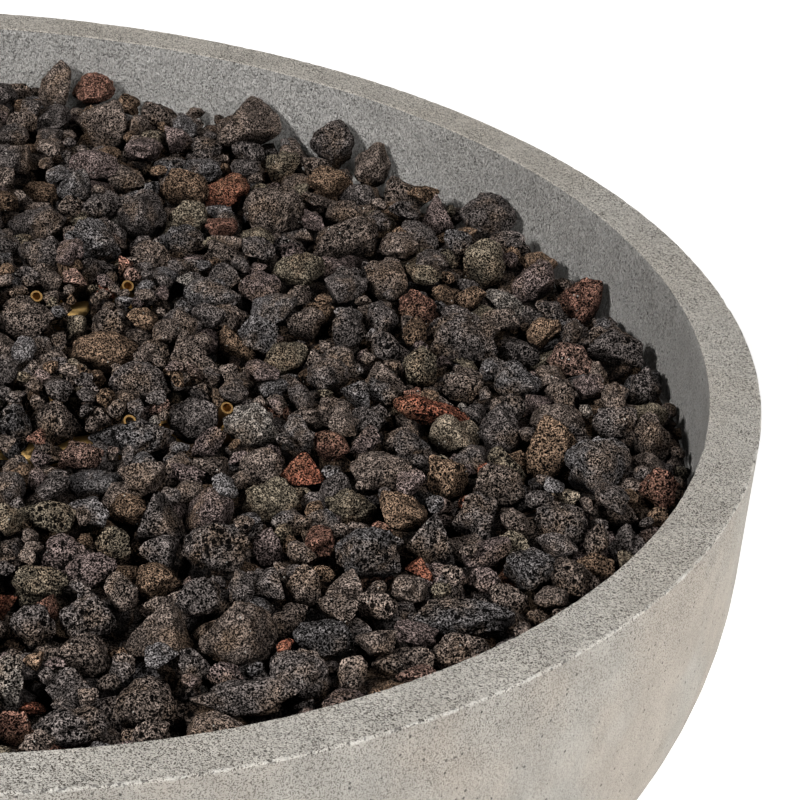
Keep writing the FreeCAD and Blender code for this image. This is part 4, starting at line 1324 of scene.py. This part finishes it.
def soft_plastic(name, colour, roughness, grain_scale, grain_depth):
    """Rubber, plastic or a plastic coating, with a fine moulded grain and a little dust."""
    material, tree, shader, place = new_material(name)
    dust = ramp(tree, noise_texture(tree, place, 40.0, 4.0), 0.45, 0.8, 0.0, 0.3)
    tree.links.new(mix_colours(tree, dust, colour, (0.3, 0.28, 0.25, 1)), shader.inputs["Base Color"])
    shader.inputs["Roughness"].default_value = roughness
    grain = noise_texture(tree, place, grain_scale, 2.0)
    tree.links.new(bump(tree, grain, grain_depth, 0.5), shader.inputs["Normal"])
    return material


def dress_packed_pieces():
    """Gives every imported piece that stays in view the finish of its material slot."""
    brass = metal("brass", (0.66, 0.43, 0.17, 1), 0.28, 0.2, 0.25)
    heated = metal("heated_brass", (0.50, 0.30, 0.115, 1), 0.30, 0.2, 0.25)
    steel = metal("pan_steel", (0.50, 0.49, 0.47, 1), 0.38, 0.2, 0.4)
    stem = metal("stem_steel", (0.55, 0.55, 0.54, 1), 0.28, 0.15, 0.3)
    chrome = metal("satin_chrome", (0.33, 0.33, 0.335, 1), 0.36, 0.12, 0.2)
    rubber = soft_plastic("pad_rubber", (0.03, 0.03, 0.032, 1), 0.75, 900.0, 0.0004)
    coating = soft_plastic("hose_coating", (0.62, 0.50, 0.10, 1), 0.45, 700.0, 0.0002)
    plastic = soft_plastic("seat_plastic", (0.75, 0.75, 0.73, 1), 0.4, 900.0, 0.0001)
    finishes = {
        heated: ("front_bar_jets", "rear_bar_jets"),
        brass: ("burner_hub", "crossbar_nipples", "bar_tees", "bar_pipes", "bar_end_caps", "burner_riser",
                "riser_locknuts", "riser_adapter", "hose_nuts", "outlet_adapter", "inlet_adapter",
                "valve_body", "valve_end_piece", "valve_packing_nut", "valve_sleeve", "valve_locknut"),
        steel: ("burner_pan",),
        stem: ("valve_stem",),
        chrome: ("valve_ball", "valve_escutcheon", "key_shaft", "key_handle"),
        rubber: ("foot_pads",),
        coating: ("gas_hose",),
        plastic: ("valve_seats",),
    }
    for material, names in finishes.items():
        for name in names:
            for slot in nodes[name].material_slots:
                slot.material = material


# Floor, light and camera

def floor():
    """Pale floor that looks white and keeps the bowl's shadow, with a painted shadow round the bowl where its
    glow is weaker.
    """
    bm = bmesh.new()
    bmesh.ops.create_grid(bm, x_segments=1, y_segments=1, size=floor_reach)
    mesh = bpy.data.meshes.new("floor")
    bm.to_mesh(mesh)
    bm.free()
    ground = bpy.data.objects.new("floor", mesh)
    bpy.context.scene.collection.objects.link(ground)
    material = bpy.data.materials.new("floor")
    material.use_nodes = True
    tree = material.node_tree
    tree.nodes.clear()
    output = tree.nodes.new("ShaderNodeOutputMaterial")
    pale = add_node(tree, "ShaderNodeBsdfDiffuse", Color=(0.8, 0.8, 0.8, 1)).outputs[0]
    place = tree.nodes.new("ShaderNodeTexCoord").outputs["Object"]
    away = add_node(tree, "ShaderNodeVectorMath", {"operation": "LENGTH"}, _0=place).outputs["Value"]
    # Painted shadow: the glow drops from 0.66 to 0.25 towards the middle, inside 0.6 m, which darkens the
    # floor round and under the bowl
    near_glow_with_painted_shadow = ramp(tree, away, 0.2, 0.6, 0.25, 0.66)
    far_glow = ramp(tree, away, 1.2, 4.0, 0.0, 0.34)
    strength = math_node(tree, "ADD", near_glow_with_painted_shadow, far_glow)
    glow = add_node(tree, "ShaderNodeEmission", Color=(1, 1, 1, 1), Strength=strength).outputs[0]
    bright = add_node(tree, "ShaderNodeAddShader", _0=pale, _1=glow).outputs[0]
    seen = seen_rays(tree)
    mixed = add_node(tree, "ShaderNodeMixShader", _0=seen, _1=pale, _2=bright).outputs[0]
    tree.links.new(mixed, output.inputs["Surface"])
    mesh.materials.append(material)


def seen_rays(tree):
    """1 for rays that the camera, a reflection or glass sends out."""
    path = tree.nodes.new("ShaderNodeLightPath")
    shine = math_node(tree, "MAXIMUM", path.outputs["Is Glossy Ray"], path.outputs["Is Transmission Ray"])
    return math_node(tree, "MAXIMUM", path.outputs["Is Camera Ray"], shine)


def surroundings():
    """White to the camera, and a dim even light elsewhere."""
    world = bpy.data.worlds.new("studio")
    bpy.context.scene.world = world
    world.use_nodes = True
    tree = world.node_tree
    tree.nodes.clear()
    output = tree.nodes.new("ShaderNodeOutputWorld")
    soft = add_node(tree, "ShaderNodeBackground", Color=(*lamp_colour, 1),
                    Strength=ambient_strength).outputs[0]
    white = add_node(tree, "ShaderNodeBackground", Color=(1, 1, 1, 1), Strength=1.0).outputs[0]
    to_camera = tree.nodes.new("ShaderNodeLightPath").outputs["Is Camera Ray"]
    mixed = add_node(tree, "ShaderNodeMixShader", _0=to_camera, _1=soft, _2=white).outputs[0]
    tree.links.new(mixed, output.inputs["Surface"])


def softbox(lamp):
    """Broad studio light, turned to the bowl."""
    light = bpy.data.lights.new(lamp.name, "AREA")
    light.shape = "RECTANGLE"
    light.size, light.size_y = lamp.size
    light.energy = lamp.power
    light.color = lamp_colour
    holder = bpy.data.objects.new(lamp.name, light)
    holder.location = lamp.place
    holder.rotation_euler = (Vector(lamp_aim) - Vector(lamp.place)).to_track_quat("-Z", "Y").to_euler()
    bpy.context.scene.collection.objects.link(holder)


def studio():
    """Plain soft light from the left, above, the front, and low from the right and the back."""
    surroundings()
    for lamp in lamps:
        softbox(lamp)


def camera():
    """Camera at the photograph's place and angle."""
    forward, right, down = camera_axes()
    turn = Matrix((right, -down, -forward)).transposed().to_4x4()
    data = bpy.data.cameras.new("camera")
    data.lens = camera_lens
    data.sensor_width = sensor_width
    holder = bpy.data.objects.new("camera", data)
    holder.matrix_world = Matrix.Translation(camera_place) @ turn
    bpy.context.scene.collection.objects.link(holder)
    bpy.context.scene.camera = holder
    bpy.context.scene.view_settings.view_transform = "Standard"


camera()
studio()
floor()
lava = lava_material("lava_rock", True)
dress_packed_pieces()
concrete_bowl()
rock_fill()
lava_rock()
